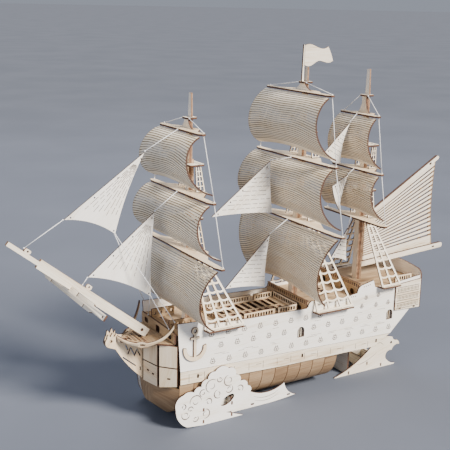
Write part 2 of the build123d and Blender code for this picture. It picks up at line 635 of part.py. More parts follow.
SPRIT_AT = 83.0         # distance of the spritsail yard from the tip of the bowsprit
SPRIT_HALF = 92.0
sprit_z_dir = Vector(*SPAR_X_DIR)
sprit_origin = Vector(SPAR_TIP[0], 0, SPAR_TIP[1]) + sprit_z_dir * SPRIT_AT
with BuildPart() as spritsail_yard:
    with BuildSketch(Plane(origin=sprit_origin, x_dir=(0, 1, 0), z_dir=sprit_z_dir)):
        with BuildLine():
            upper = [(-SPRIT_HALF, -3), (-63, -3), (-61, -1.5), (61, -1.5), (63, -3), (SPRIT_HALF, -3)]
            lower = [(SPRIT_HALF, -9), (66, -9), (60, -11), (-60, -11), (-66, -9), (-SPRIT_HALF, -9)]
            Polyline(*upper, *lower, (-SPRIT_HALF, -3))
        make_face()
        with Locations((-SPRIT_HALF + 4.5, -6.5), (SPRIT_HALF - 4.5, -6.5)):
            Circle(1.2, mode=Mode.SUBTRACT)
        with Locations((-22, -3.5), (22, -3.5)):
            Rectangle(1.6, 5, mode=Mode.SUBTRACT)
        with Locations((-44, -9.5), (44, -9.5)):
            Rectangle(1.4, 4, mode=Mode.SUBTRACT)
        Rectangle(SPAR_THICK + 0.1, SPAR_DEPTH + 0.1, mode=Mode.SUBTRACT)
    extrude(amount=PLY)
save(spritsail_yard.part, "spritsail_yard")

# ---------------------------------------------------------------- masts


def mast_plane(mast, ahead):
    """The (Y, height) plane across a mast, a distance ahead of its axis, heights from REF_Z."""
    rake = radians(MASTS[mast]["rake"])
    up = Vector(sin(rake), 0, cos(rake))
    aft = Vector(cos(rake), 0, -sin(rake))
    origin = Vector(MASTS[mast]["x"], 0, REF_Z) - aft * ahead
    return Plane(origin=origin, x_dir=(0, 1, 0), z_dir=aft)


def mast(name, spec):
    """Four plates laid together below, two above the middle yard and one at the pole."""
    yards = YARDS[name]
    low_top, mid_top = yards[0][0] + 30, yards[1][0] + 34
    layers = (
        (4.0, spec["foot"], low_top, MAST_WIDTH),
        (2.0, spec["foot"], spec["collar"], MAST_WIDTH - 1.0),
        (0.0, spec["foot"], spec["tip"], MAST_WIDTH - 1.0),
        (-2.0, spec["foot"], mid_top, MAST_WIDTH),
    )
    with BuildPart() as pole:
        for ahead, z0, z1, width in layers:
            with BuildSketch(mast_plane(name, ahead)):
                with BuildLine():
                    taper = 2.2 if z1 > spec["collar"] - 1 else width / 2 - 0.6
                    Polyline((-width / 2, z0 - REF_Z), (width / 2, z0 - REF_Z), (width / 2, z1 - REF_Z - 26),
                             (taper, z1 - REF_Z), (-taper, z1 - REF_Z), (-width / 2, z1 - REF_Z - 26),
                             (-width / 2, z0 - REF_Z))
                make_face()
            extrude(amount=PLY)
    return pole.part


def yard_plane(mast_name, z):
    """A level plane at a yard, with its origin on the mast's axis."""
    return Plane(origin=(mast_x(mast_name, z), 0, z - PLY / 2), x_dir=(1, 0, 0), z_dir=(0, 0, 1))


def yards(name):
    """The three yards of a mast: plates that are deepest at the mast, with swept-back ends."""
    with BuildPart() as group:
        for index, (z, half) in enumerate(YARDS[name]):
            middle = YARD_MIDDLE if index < 2 else YARD_MIDDLE - 5
            with BuildSketch(yard_plane(name, z)):
                with BuildLine():
                    front = -YARD_FRONT
                    Polyline((front, -half * 0.9), (front, half * 0.9), (front + 3, half),
                             (front + 3 + YARD_TIP, half), (front + 8, half * 0.6),
                             (front + middle, half * 0.32), (front + middle, -half * 0.32),
                             (front + 8, -half * 0.6), (front + 3 + YARD_TIP, -half),
                             (front + 3, -half), (front, -half * 0.9))
                make_face()
                Rectangle(MAST_WIDTH + 0.4, MAST_WIDTH + 0.2, mode=Mode.SUBTRACT)
                keys = 6 if index < 2 else 3
                with Locations(*[(front + middle - 6, s * (8 + 3.4 * k)) for s in (-1, 1) for k in range(keys)
                                 if 8 + 3.4 * k < half * 0.32]):
                    Rectangle(7, 1.5, mode=Mode.SUBTRACT)
                if name == "mizzen" and index == 0:
                    with Locations((front + middle - 2.6, 0)):
                        Rectangle(5.4, 2 * PLY + 0.4, mode=Mode.SUBTRACT)
                with Locations((front + 5, half - 4), (front + 5, -half + 4)):
                    Circle(0.8, mode=Mode.SUBTRACT)
            extrude(amount=PLY)
    return group.part


for name, spec in MASTS.items():
    save(mast(name, spec), f"{name}_mast")
    save(yards(name), f"{name}_yards")

with BuildPart() as brackets:
    for name, spec in MASTS.items():
        z = YARDS[name][2][0] + PLY / 2 - REF_Z
        rise = spec["collar"] - PLY / 2 - 0.1 - YARDS[name][2][0] - PLY / 2
        half = YARDS[name][2][1] * 0.3
        with BuildSketch(mast_plane(name, 4.0)):
            for s in (-1, 1):
                with BuildLine():
                    Line((0, z), (s * half, z))
                    ThreePointArc((s * half, z), (s * half * 0.5, z + rise * 0.35), (s * 4, z + rise))
                    Polyline((s * 4, z + rise), (0, z + rise), (0, z))
                make_face()
        extrude(amount=PLY)
save(brackets.part, "masthead_brackets")

with BuildPart() as collars:
    for name, spec in MASTS.items():
        with BuildSketch(yard_plane(name, spec["collar"])):
            RectangleRounded(12, 13, 2)
            Rectangle(4.6, MAST_WIDTH - 0.4, mode=Mode.SUBTRACT)
        extrude(amount=PLY)
save(collars.part, "mast_collars")

# tops: platforms on the masts between the yards, with short shrouds down to the yard below
TOPS = {name: [YARDS[name][0][0] + 34, YARDS[name][1][0] + 29] for name in MASTS}
TOP_HALF = 16.0


with BuildPart() as tops:
    for name, levels in TOPS.items():
        for level, z in enumerate(levels):
            with BuildSketch(yard_plane(name, z)):
                with Locations((2, 0)):
                    RectangleRounded(18, 2 * TOP_HALF, 3)
                Rectangle(MAST_WIDTH + 0.4, MAST_WIDTH + 0.4, mode=Mode.SUBTRACT)
                with Locations((6.5, 0)):
                    with GridLocations(0, 6, 1, 5):
                        Rectangle(3, 3, mode=Mode.SUBTRACT)
            extrude(amount=PLY)
save(tops.part, "mast_tops")


def sloping_plane(side, low_y, low_z, high_y, high_z):
    """A plane that leans inboard from a low edge to a high edge, its sketch as (X, distance up)."""
    up = Vector(0, side * (high_y - low_y), high_z - low_z).normalized()
    return Plane(origin=(0, side * low_y, low_z), x_dir=(1, 0, 0), z_dir=Vector(1, 0, 0).cross(up))


def net(side, foot, head, low, high, legs, rungs, leg_width=1.7, rung_width=1.2):
    """A net of shrouds and ratlines: foot and head are X ranges, low and high are (y, z)."""
    length = (Vector(*high) - Vector(*low)).length
    with BuildSketch(sloping_plane(side, *low, *high)) as profile:
        for i in range(legs):
            share = i / (legs - 1)
            x_low = foot[0] + (foot[1] - foot[0]) * share
            x_high = head[0] + (head[1] - head[0]) * share
            with BuildLine():
                Polyline((x_low - leg_width / 2, 0), (x_low + leg_width / 2, 0),
                         (x_high + leg_width / 2, length), (x_high - leg_width / 2, length),
                         (x_low - leg_width / 2, 0))
            make_face()
        for j in range(rungs):
            share = (j + 0.12) / rungs if j else 0.6 / length
            x_low = foot[0] + (head[0] - foot[0]) * share
            x_high = foot[1] + (head[1] - foot[1]) * share
            with Locations(((x_low + x_high) / 2, length * share)):
                Rectangle(x_high - x_low, rung_width)
    extrude(profile.sketch, amount=THIN / 2, both=True)


with BuildPart() as ladders:
    for name, levels in TOPS.items():
        for (yard_z, half), z in zip(YARDS[name], levels):
            x = mast_x(name, z)
            for side in (PORT, STARBOARD):
                net(side, (x - 1, x + 8), (x + 1, x + 6), (min(half * 0.28, 22), yard_z + PLY / 2 + 0.8),
                    (TOP_HALF - 2, z - PLY / 2 - 0.8), 3, 5, 1.2, 1.0)
save(ladders.part, "topmast_shrouds")

# ---------------------------------------------------------------- shroud nets
NET_FOOT_Y, NET_HEAD_Y = 49.5, 10.0
NETS = {"fore": ((-91, -47), (-89, -80), 4, 9), "main": ((53, 104), (57, 70), 4, 10),
        "mizzen": ((149, 176), (150, 158), 3, 8)}
with BuildPart() as shrouds:
    for name, (foot, head, legs, rungs) in NETS.items():
        for side in (PORT, STARBOARD):
            net(side, foot, head, (NET_FOOT_Y, CHANNELS[name][2] + 0.5),
                (NET_HEAD_Y, YARDS[name][0][0] - PLY / 2 - 0.6), legs, rungs)
save(shrouds.part, "shroud_nets")


# ---------------------------------------------------------------- square sails
def square_sail(mast_name, head_half, foot_half, head_z, foot_z, arch, belly, foot_aft):
    """A sheet bent round one axis, with an arched foot and hollow sides."""
    x0 = mast_x(mast_name, head_z) - YARD_FRONT + THIN / 2 + 0.4
    x1 = x0 + foot_aft
    mid_x, mid_z = (x0 + x1) / 2 - belly, head_z + (foot_z - head_z) * 0.52
    with BuildPart() as sheet:
        with BuildSketch(Plane.XZ):
            with BuildLine():
                wall = THIN / 2
                outer = ThreePointArc((x0 - wall, head_z), (mid_x - wall, mid_z), (x1 - wall, foot_z))
                inner = ThreePointArc((x0 + wall, head_z), (mid_x + wall, mid_z), (x1 + wall, foot_z))
                Line(outer @ 0, inner @ 0)
                Line(outer @ 1, inner @ 1)
            make_face()
        extrude(amount=110, both=True)
        middle_half = (head_half + foot_half) / 2 - 1.5
        with BuildSketch(athwart(x0 - 60)):
            with BuildLine():
                top, low, half_way = head_z + 1, foot_z - 1, (head_z + foot_z) / 2
                Line((-head_half, top), (head_half, top))
                ThreePointArc((head_half, top), (middle_half, half_way), (foot_half, low))
                ThreePointArc((foot_half, low), (0, foot_z + arch), (-foot_half, low))
                ThreePointArc((-foot_half, low), (-middle_half, half_way), (-head_half, top))
            make_face()
        extrude(amount=120, mode=Mode.INTERSECT)
    return sheet.part


for name, spec in SAILS.items():
    save(square_sail(*spec), name)


# ---------------------------------------------------------------- fore-and-aft sails
CENTRE_PLANE = Plane(origin=(0, THIN / 2, 0), x_dir=(1, 0, 0), z_dir=(0, -1, 0))


def flat_sail(corners, hollows, holes):
    """A flat sail on the centreline: corners in turn, with the middle point of each curved edge."""
    with BuildSketch(CENTRE_PLANE) as profile:
        with BuildLine():
            count = len(corners)
            for i, corner in enumerate(corners):
                after = corners[(i + 1) % count]
                if hollows[i]:
                    ThreePointArc(corner, hollows[i], after)
                else:
                    Line(corner, after)
        make_face()
        with Locations(*holes):
            Circle(0.9, mode=Mode.SUBTRACT)
    extrude(profile.sketch, amount=THIN)


def along(start, end, count, inset, drop):
    """Evenly spaced points just inside the edge from start to end."""
    shares = [inset + (1 - 2 * inset) * i / (count - 1) for i in range(count)]
    run, rise = end[0] - start[0], end[1] - start[1]
    return [(start[0] + run * s + drop[0], start[1] + rise * s + drop[1]) for s in shares]


with BuildPart() as jibs:
    flat_sail([(-141.5, 296.4), (-229.5, 235.4), (-175, 214.5)], [None, (-205.5, 231), (-161, 256.5)],
              along((-229.5, 235.4), (-141.5, 296.4), 4, 0.06, (1.5, -2.2)) + [(-176.5, 218)])
    flat_sail([(-130, 232.4), (-205.5, 172.3), (-134.5, 140)], [None, (-172, 162.5), (-134, 186.5)],
              along((-205.5, 172.3), (-130, 232.4), 4, 0.06, (1.5, -2.2)) + [(-137, 144)])
save(jibs.part, "jibs")

with BuildPart() as staysails:
    flat_sail([(14.5, 276), (-60, 219.6), (19, 216)], [None, (-22, 219.5), (15.5, 244.5)],
              along((-60, 219.6), (14.5, 276), 5, 0.08, (1.5, -2.2)))
    flat_sail([(17, 190), (-41, 134), (12, 128.6)], [None, (-16, 133), (12.5, 159.5)],
              along((-41, 134), (17, 190), 4, 0.08, (1.5, -2.2)))
    flat_sail([(125.5, 313), (89.6, 279.6), (114, 265.6)], [None, (101, 269.5), (116, 288.5)],
              along((89.6, 279.6), (125.5, 313), 3, 0.12, (1.5, -2.2)))
    flat_sail([(127, 251), (104, 238.6), (116, 208.6)], [None, (108, 224.5), (119, 228.5)],
              along((104, 238.6), (127, 251), 3, 0.14, (1.0, -2.4)))
    flat_sail([(131, 184.5), (108, 150.6), (131, 143.5)], [None, (119, 148.5), (129.5, 164.5)],
              along((108, 150.6), (131, 184.5), 3, 0.14, (1.5, -2.2)))
save(staysails.part, "staysails")

GAFF_LOW, GAFF_HIGH = (154.9, 193.9), (271.5, 262.3)
BOOM_LOW = (153.3, 136.0)


def spar_between(start, end, depth, round_end):
    """A spar cut from plate on the centreline, from start to end, hanging below that line."""
    angle = degrees(atan2(end[1] - start[1], end[0] - start[0]))
    length = (Vector(*end) - Vector(*start)).length
    direction = (cos(radians(angle)), 0, sin(radians(angle)))
    with BuildSketch(Plane(origin=(start[0], PLY, start[1]), x_dir=direction, z_dir=(0, -1, 0))) as profile:
        with Locations(((length - round_end) / 2, 0)):
            Rectangle(length - round_end, depth)
        with Locations((length - round_end, 0)):
            Circle(depth / 2)
        with Locations((length - 16, 0)):
            Rectangle(3.4, 1.8, mode=Mode.SUBTRACT)
    extrude(profile.sketch, amount=2 * PLY)


with BuildPart() as gaff:
    spar_between(GAFF_LOW, GAFF_HIGH, 5.0, 2.5)
save(gaff.part, "spanker_gaff")

with BuildPart() as boom:
    spar_between(BOOM_LOW, BOOM_END, 7.0, 3.5)
save(boom.part, "spanker_boom")

with BuildPart() as spanker:
    flat_sail([(156, 191), (267.5, 256.5), (271.5, 147.4), (156, 140.2)],
              [None, (265.5, 204), None, None], [(262, 248)])
save(spanker.part, "spanker_sail")

with BuildPart() as flag:
    with BuildSketch(CENTRE_PLANE):
        with BuildLine():
            Line((55.6, 381), (55.6, 402.5))
            Spline((55.6, 402.5), (65, 403.5), (76, 399.5), (88, 401))
            Spline((88, 401), (92, 394), (95.5, 385))
            Spline((95.5, 385), (86, 383), (75, 385), (66, 380.5), (55.6, 381))
        make_face()
    extrude(amount=THIN)
    with BuildSketch(fore_aft(-PLY / 2)):
        with BuildLine():
            Polyline((52.9, 363.1), (55.7, 363.1), (55.4, 403.4), (54, 403.4), (52.9, 363.1))
        make_face()
    extrude(amount=PLY)
save(flag.part, "flag_and_staff")

# ---------------------------------------------------------------- rigging threads
THREAD = 0.8


def yard_end(name, index, side, over):
    """Just over (1) or just under (-1) a yard, near its end."""
    z, half = YARDS[name][index]
    return (mast_x(name, z) - YARD_FRONT + 6.4, side * (half - 3), z + over * (PLY / 2 + THREAD / 2 + 0.1))


def thread(start, end, trim_start=0.0, trim_end=0.0):
    """A taut thread drawn as a thin straight rod."""
    a, b = Vector(*start), Vector(*end)
    direction = (b - a).normalized()
    a, b = a + direction * trim_start, b - direction * trim_end
    with BuildSketch(Plane(origin=a, z_dir=direction)) as profile:
        Circle(THREAD / 2)
    extrude(profile.sketch, amount=(b - a).length)


def yard_centre(name, index):
    z = YARDS[name][index][0]
    return (mast_x(name, z) - YARD_FRONT - 0.6, 0, z)


with BuildPart() as threads:
    for name, spec in MASTS.items():
        for side in (PORT, STARBOARD):
            collar = (mast_x(name, spec["collar"]) - 4.0, side * 6.9, spec["collar"])
            thread(collar, yard_end(name, 2, side, 1), 0.6, 0.3)
            for index in (2, 1):
                thread(yard_end(name, index, side, -1), yard_end(name, index - 1, side, 1), 0.3, 0.3)
    thread((-271.0, 0, 211.6), (-230.5, 0, 235.2), 1.2, 0.6)
    thread((-140.5, 0, 297.9), yard_centre("fore", 2), 0.6, 0.8)
    thread((-211.5, 0, 164.8), (-206.0, 0, 171.8), 0.8, 0.4)
    thread((-129.3, 0, 233.7), yard_centre("fore", 1), 0.6, 0.8)
    thread((15.3, 0, 276.8), yard_centre("main", 1), 0.6, 0.8)
    thread((17.8, 0, 191.3), yard_centre("main", 0), 0.6, 0.8)
    thread((126.0, 0, 314.3), yard_centre("mizzen", 2), 0.6, 0.8)
    thread((127.6, 0, 251.8), yard_centre("mizzen", 1), 0.6, 0.8)
    thread((131.6, 0, 185.5), yard_centre("mizzen", 0), 0.6, 0.8)
    for side in (PORT, STARBOARD):
        thread((-175.0, side * 1.4, 214.0), (-124.0, side * 36.0, 120.6), 0.6, 0.6)
        thread((-134.4, side * 1.4, 139.8), (-125.0, side * 25.0, 109.2), 0.4, 0.6)
save(threads.part, "rigging_threads")
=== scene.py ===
"""The looks of a laser-cut plywood galleon that stands on wave and cloud plates.

X runs along the ship with the bow at -X, port is -Y and Z is up. Sizes in tables are in millimetres.
"""

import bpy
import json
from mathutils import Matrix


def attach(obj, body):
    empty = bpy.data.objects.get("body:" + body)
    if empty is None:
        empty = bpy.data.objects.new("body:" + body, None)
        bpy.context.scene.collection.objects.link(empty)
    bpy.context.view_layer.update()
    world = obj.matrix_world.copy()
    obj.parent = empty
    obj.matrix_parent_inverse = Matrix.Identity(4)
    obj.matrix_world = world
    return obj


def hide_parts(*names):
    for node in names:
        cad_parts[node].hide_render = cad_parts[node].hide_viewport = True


bl_info = {
    "name": "Plywood Galleon",
    "version": (1, 0, 0),
    "blender": (4, 5, 0),
    "location": "3D View > Sidebar > Galleon",
    "description": "Builds the plates, slit sails, nets and threads of a wooden ship puzzle",
    "category": "Object",
}

import json
import math
import random

import bmesh
import bpy
import numpy as np
from mathutils import Matrix, Vector

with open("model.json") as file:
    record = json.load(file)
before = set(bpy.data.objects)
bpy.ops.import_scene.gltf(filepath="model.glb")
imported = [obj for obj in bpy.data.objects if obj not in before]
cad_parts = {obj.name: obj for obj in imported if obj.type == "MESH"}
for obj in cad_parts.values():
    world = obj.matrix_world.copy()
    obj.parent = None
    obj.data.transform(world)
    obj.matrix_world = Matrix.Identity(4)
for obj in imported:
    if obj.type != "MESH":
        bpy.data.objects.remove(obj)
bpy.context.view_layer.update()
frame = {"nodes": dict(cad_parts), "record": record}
MM = 0.001
PORT, STARBOARD = -1, 1


# ---------------------------------------------------------------- colours and nodes
def linear(code):
    """An sRGB hex colour as linear red, green, blue and alpha."""
    parts = [int(code[i:i + 2], 16) / 255 for i in (1, 3, 5)]
    return tuple(c / 12.92 if c <= 0.04045 else ((c + 0.055) / 1.055) ** 2.4 for c in parts) + (1.0,)


def add(tree, kind, inputs=None, **settings):
    """A new shader node with its settings, values and links."""
    node = tree.nodes.new(kind)
    for key, value in settings.items():
        setattr(node, key, value)
    for key, value in (inputs or {}).items():
        if isinstance(value, bpy.types.NodeSocket):
            tree.links.new(value, node.inputs[key])
        else:
            node.inputs[key].default_value = value
    return node


def stops(ramp, *pairs):
    """Set the stops of a colour ramp from (position, hex) pairs."""
    ends = ramp.color_ramp.elements
    while len(ends) < len(pairs):
        ends.new(0.5)
    for stop, (place, code) in zip(ends, pairs):
        stop.position = place
        stop.color = linear(code)
    return ramp.outputs["Color"]


def new_material(name):
    """An empty material with an output and a Principled shader."""
    material = bpy.data.materials.new(name)
    material.use_nodes = True
    tree = material.node_tree
    tree.nodes.clear()
    shader = add(tree, "ShaderNodeBsdfPrincipled")
    add(tree, "ShaderNodeOutputMaterial", {"Surface": shader.outputs["BSDF"]})
    return material, tree, shader


def wood_face(name, light, mid, dark, rough):
    """Rotary-cut basswood, sanded and left bare: fine pale fibres along the plate, a few pores,
    and a slow drift of colour from plate to plate. Matt, with a faint sheen along the fibres."""
    material, tree, shader = new_material(name)
    grain = add(tree, "ShaderNodeUVMap", uv_map="Grain").outputs["UV"]
    plate = add(tree, "ShaderNodeUVMap", uv_map="Plate").outputs["UV"]
    tint = add(tree, "ShaderNodeSeparateXYZ", {"Vector": plate}).outputs["X"]
    # fibres about 1.2 mm apart and 25 mm long, drawn a little coarser than real so that they show
    fibre_at = add(tree, "ShaderNodeMapping", {"Vector": grain, "Scale": (40, 820, 1)}).outputs[0]
    fibre = add(tree, "ShaderNodeTexNoise", {"Vector": fibre_at, "Scale": 1.0, "Detail": 4.0}).outputs[0]
    # broad growth bands, 12 mm across
    band_at = add(tree, "ShaderNodeMapping", {"Vector": grain, "Scale": (9, 80, 1)}).outputs[0]
    band = add(tree, "ShaderNodeTexNoise", {"Vector": band_at, "Scale": 1.0, "Detail": 2.0, "Distortion": 0.6}).outputs[0]
    # pores: dark dashes 0.3 mm wide and 3 mm long
    pore_at = add(tree, "ShaderNodeMapping", {"Vector": grain, "Scale": (330, 3000, 1)}).outputs[0]
    pore = add(tree, "ShaderNodeTexNoise", {"Vector": pore_at, "Scale": 1.0, "Detail": 1.0}).outputs[0]
    pores = add(tree, "ShaderNodeMapRange", {0: pore, 1: 0.66, 2: 0.8}).outputs[0]
    mixed = add(tree, "ShaderNodeMath", {0: fibre, 1: band}, operation="ADD").outputs[0]
    tinted = add(tree, "ShaderNodeMath", {0: mixed, 1: tint}, operation="ADD").outputs[0]
    share = add(tree, "ShaderNodeMapRange", {0: tinted, 1: 0.72, 2: 1.42}).outputs[0]
    ramp = add(tree, "ShaderNodeValToRGB", {"Fac": share})
    colour = stops(ramp, (0.0, light), (0.55, mid), (1.0, dark))
    spotted = add(tree, "ShaderNodeMix", {0: pores, 6: colour, 7: linear(dark)}, data_type="RGBA").outputs[2]
    # laser smoke browns the wood right beside a slit, where the tint is high
    smoke = add(tree, "ShaderNodeMapRange", {0: tint, 1: 0.2, 2: 1.0}).outputs[0]
    smoked = add(tree, "ShaderNodeMix", {0: smoke, 6: spotted, 7: linear("#5E402C")}, data_type="RGBA").outputs[2]
    tree.links.new(smoked, shader.inputs["Base Color"])
    shader.inputs["Roughness"].default_value = rough
    shader.inputs["IOR"].default_value = 1.45
    bump = add(tree, "ShaderNodeBump", {"Height": fibre, "Strength": 0.12, "Distance": 0.0002})
    tree.links.new(bump.outputs[0], shader.inputs["Normal"])
    return material


def charred_edge(name, outer, core, soot):
    """A laser-cut plywood edge: burnt brown, with the crossed middle ply showing a little lighter
    between the two outer plies, and fine soot streaks that follow the beam across the thickness."""
    material, tree, shader = new_material(name)
    plate = add(tree, "ShaderNodeUVMap", uv_map="Plate").outputs["UV"]
    layer = add(tree, "ShaderNodeSeparateXYZ", {"Vector": plate}).outputs["Y"]
    ramp = add(tree, "ShaderNodeValToRGB", {"Fac": layer})
    layers = stops(ramp, (0.0, outer), (0.30, outer), (0.36, core), (0.64, core), (0.70, outer), (1.0, outer))
    place = add(tree, "ShaderNodeTexCoord").outputs["Object"]
    # soot patches about 4 mm across
    noise = add(tree, "ShaderNodeTexNoise", {"Vector": place, "Scale": 260.0, "Detail": 3.0}).outputs[0]
    patchy = add(tree, "ShaderNodeMapRange", {0: noise, 1: 0.4, 2: 0.72}).outputs[0]
    colour = add(tree, "ShaderNodeMix", {0: patchy, 6: layers, 7: linear(soot)}, data_type="RGBA").outputs[2]
    tree.links.new(colour, shader.inputs["Base Color"])
    shader.inputs["Roughness"].default_value = 0.78
    return material


def engraved_line(name, burnt, pale):
    """The floor of a shallow laser engraving: scorched fibres, uneven from light to dark brown."""
    material, tree, shader = new_material(name)
    place = add(tree, "ShaderNodeTexCoord").outputs["Object"]
    # scorching varies over about 2 mm
    noise = add(tree, "ShaderNodeTexNoise", {"Vector": place, "Scale": 480.0, "Detail": 2.0}).outputs[0]
    ramp = add(tree, "ShaderNodeValToRGB", {"Fac": noise})
    colour = stops(ramp, (0.35, burnt), (0.72, pale))
    tree.links.new(colour, shader.inputs["Base Color"])
    shader.inputs["Roughness"].default_value = 0.85
    return material


def waxed_thread(name, light, dark):
    """Waxed cotton sewing thread, two plies twisted together: a slanting rib every 0.9 mm."""
    material, tree, shader = new_material(name)
    lay = add(tree, "ShaderNodeUVMap", uv_map="Grain").outputs["UV"]
    slant = add(tree, "ShaderNodeMapping", {"Vector": lay, "Rotation": (0, 0, math.radians(35))}).outputs[0]
    wave = add(tree, "ShaderNodeTexWave", {"Vector": slant, "Scale": 350.0, "Distortion": 0.4}).outputs["Fac"]
    # the bluish grey between the ribs is painted shade in the grooves of the twist
    ramp = add(tree, "ShaderNodeValToRGB", {"Fac": wave})
    colour = stops(ramp, (0.0, dark), (0.6, light))
    tree.links.new(colour, shader.inputs["Base Color"])
    bump = add(tree, "ShaderNodeBump", {"Height": wave, "Strength": 0.5, "Distance": 0.0002})
    tree.links.new(bump.outputs[0], shader.inputs["Normal"])
    shader.inputs["Roughness"].default_value = 0.55
    shader.inputs["Sheen Weight"].default_value = 0.25
    return material


def finish_of(name):
    """The named material, made the first time it is asked for."""
    if name in bpy.data.materials:
        return bpy.data.materials[name]
    s = bpy.context.scene.galleon
    if name == "bare_basswood":
        return wood_face(name, s.wood_light, s.wood_mid, s.wood_dark, 0.62)
    if name == "pale_basswood":
        return wood_face(name, "#FFFDF9", "#FAF5EC", "#DFD2BF", 0.6)
    # a dark tan: the unprinted wood's own tone, darkened further as painted shade under the hull
    if name == "tan_basswood":
        return wood_face(name, "#A98F70", "#8F7355", "#6A4F39", 0.64)
    # a darker brown: the decks' own slat colour, darkened further as painted shade inside the bulwarks
    if name == "deck_basswood":
        return wood_face(name, "#C6AC88", "#AA8C68", "#7E6045", 0.64)
    # a tanner colour than the bare plates: painted shade on the bow-facing parts, and a warmer wood tone on the yards
    # and deck rails
    if name == "warm_basswood":
        return wood_face(name, "#F3E2C8", "#E6CFAD", "#C09C74", 0.62)
    if name == "stacked_ply":
        return charred_edge(name, "#B8987A", "#8C6A50", "#6E4E3B")
    if name == "sail_plywood":
        return wood_face(name, s.sail_light, s.sail_mid, s.sail_dark, 0.66)
    if name == "laser_cut_edge":
        return charred_edge(name, s.edge_dark, s.edge_core, "#38231A")
    if name == "engraved_wood":
        return engraved_line(name, "#2E1C13", "#5C3F2E")
    if name == "waxed_cotton_thread":
        # the grey is painted shade in the grooves of the twist
        return waxed_thread(name, "#FFFFFF", "#D6DAE2")
    raise ValueError(name)


# ---------------------------------------------------------------- working with plates
def only(piece):
    """Make this the one selected and active object."""
    bpy.ops.object.select_all(action="DESELECT")
    piece.select_set(True)
    bpy.context.view_layer.objects.active = piece


def hand_over(piece, node, body=None):
    """Hide the part that this piece replaces and attach the piece to the body it moves with."""
    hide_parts(node)
    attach(piece, body or next(b for b, m in BODIES.items() if node in m))


BODIES = {b: v for b, v in frame["record"]["behaviour"]["bodies"].items()}


def merged_copy(node, name):
    """A copy of a part's mesh with its loose triangles merged into whole faces."""
    piece = bpy.data.objects.new(name, frame["nodes"][node].data.copy())
    bpy.context.scene.collection.objects.link(piece)
    piece.data.materials.clear()
    only(piece)
    bpy.ops.object.mode_set(mode="EDIT")
    bpy.ops.mesh.select_all(action="SELECT")
    bpy.ops.mesh.remove_doubles(threshold=2e-6)
    bpy.ops.mesh.dissolve_limited(angle_limit=math.radians(0.5))
    bpy.ops.object.mode_set(mode="OBJECT")
    if piece.data.has_custom_normals:
        bpy.ops.mesh.customdata_custom_splitnormals_clear()
    return piece


def islands(mesh):
    """The separate plates of a mesh, as lists of faces."""
    seen = set()
    for start in mesh.faces:
        if start in seen:
            continue
        seen.add(start)
        group, edge_of = [], [start]
        while edge_of:
            face = edge_of.pop()
            group.append(face)
            for edge in face.edges:
                for other in edge.link_faces:
                    if other not in seen:
                        seen.add(other)
                        edge_of.append(other)
        yield group


def principal(vectors, weights):
    """The strongest direction in a set of weighted vectors."""
    table = np.einsum("i,ij,ik->jk", np.array(weights), np.array(vectors), np.array(vectors))
    return Vector(np.linalg.eigh(table)[1][:, 2])


def lay_grain(piece, seed, bent=False):
    """Split faces from cut edges and give each plate its own grain direction, tint and plies."""
    rng = random.Random(seed)
    work = bmesh.new()
    work.from_mesh(piece.data)
    work.normal_update()
    grain = work.loops.layers.uv.new("Grain")
    plate = work.loops.layers.uv.new("Plate")
    for faces in islands(work):
        points = {v for f in faces for v in f.verts}
        centre = sum((v.co for v in points), Vector()) / len(points)
        normal = Vector((0, 0, 1)) if bent else principal([f.normal for f in faces], [f.calc_area() for f in faces])
        flat = [(v.co - centre) - normal * (v.co - centre).dot(normal) for v in points]
        along = Vector((1, 0, 0)) if bent else principal(flat, [1.0] * len(flat))
        across = normal.cross(along)
        depth = [v.co.dot(normal) for v in points]
        low, span = min(depth), max(max(depth) - min(depth), 1e-6)
        offset = Vector((rng.uniform(0, 3), rng.uniform(0, 3)))
        tint = rng.uniform(-0.12, 0.12)
        for face in faces:
            if bent:
                ends = abs(face.normal.x) > 0.99 and face.calc_area() < 4e-4
                is_edge = ends or (face.normal.z > 0.95 and face.calc_area() < 1e-4)
            else:
                is_edge = abs(face.normal.dot(normal)) < 0.75
            face.material_index = 1 if is_edge else 0
            for loop in face.loops:
                co = loop.vert.co
                side = co.dot(across) if not bent else math.atan2(co.z - 0.045, co.y) * 0.041
                loop[grain].uv = Vector((co.dot(along), side)) + offset
                loop[plate].uv = (tint, (co.dot(normal) - low) / span if not bent else 0.5)
    work.to_mesh(piece.data)
    work.free()


def dress(piece, face="bare_basswood", edge="laser_cut_edge"):
    """Give a plate its three finishes: face, cut edge and engraving."""
    for name in (face, edge, "engraved_wood"):
        piece.data.materials.append(finish_of(name))


def singe(piece, width):
    """Break every sharp arris by a hair and burn it, as the laser does."""
    only(piece)
    mod = piece.modifiers.new("Arris", "BEVEL")
    mod.width = width
    mod.segments = 1
    mod.limit_method = "ANGLE"
    mod.angle_limit = math.radians(40)
    mod.material = 1
    bpy.ops.object.modifier_apply(modifier=mod.name)


def cut_plate(node, face="bare_basswood", arris=0.22, bent=False, edge="laser_cut_edge"):
    """A part as it comes from the laser: pale faces, burnt edges and arrises."""
    piece = merged_copy(node, node + "_ply")
    lay_grain(piece, node, bent)
    dress(piece, face, edge)
    if arris:
        singe(piece, arris * MM)
    if bent:
        only(piece)
        bpy.ops.object.shade_smooth_by_angle(angle=math.radians(30))
    hand_over(piece, node)
    return piece


# ---------------------------------------------------------------- engraving
def prism(work, outline, place, deep):
    """A closed block over an outline of (a, b) points, from -deep to +deep along its normal."""
    low = [work.verts.new(place @ Vector((a, b, -deep))) for a, b in outline]
    high = [work.verts.new(place @ Vector((a, b, deep))) for a, b in outline]
    count = len(outline)
    caps = [work.faces.new(list(reversed(low))), work.faces.new(high)]
    sides = [work.faces.new((low[i], low[(i + 1) % count], high[(i + 1) % count], high[i])) for i in range(count)]
    for face in caps + sides:
        face.material_index = 2


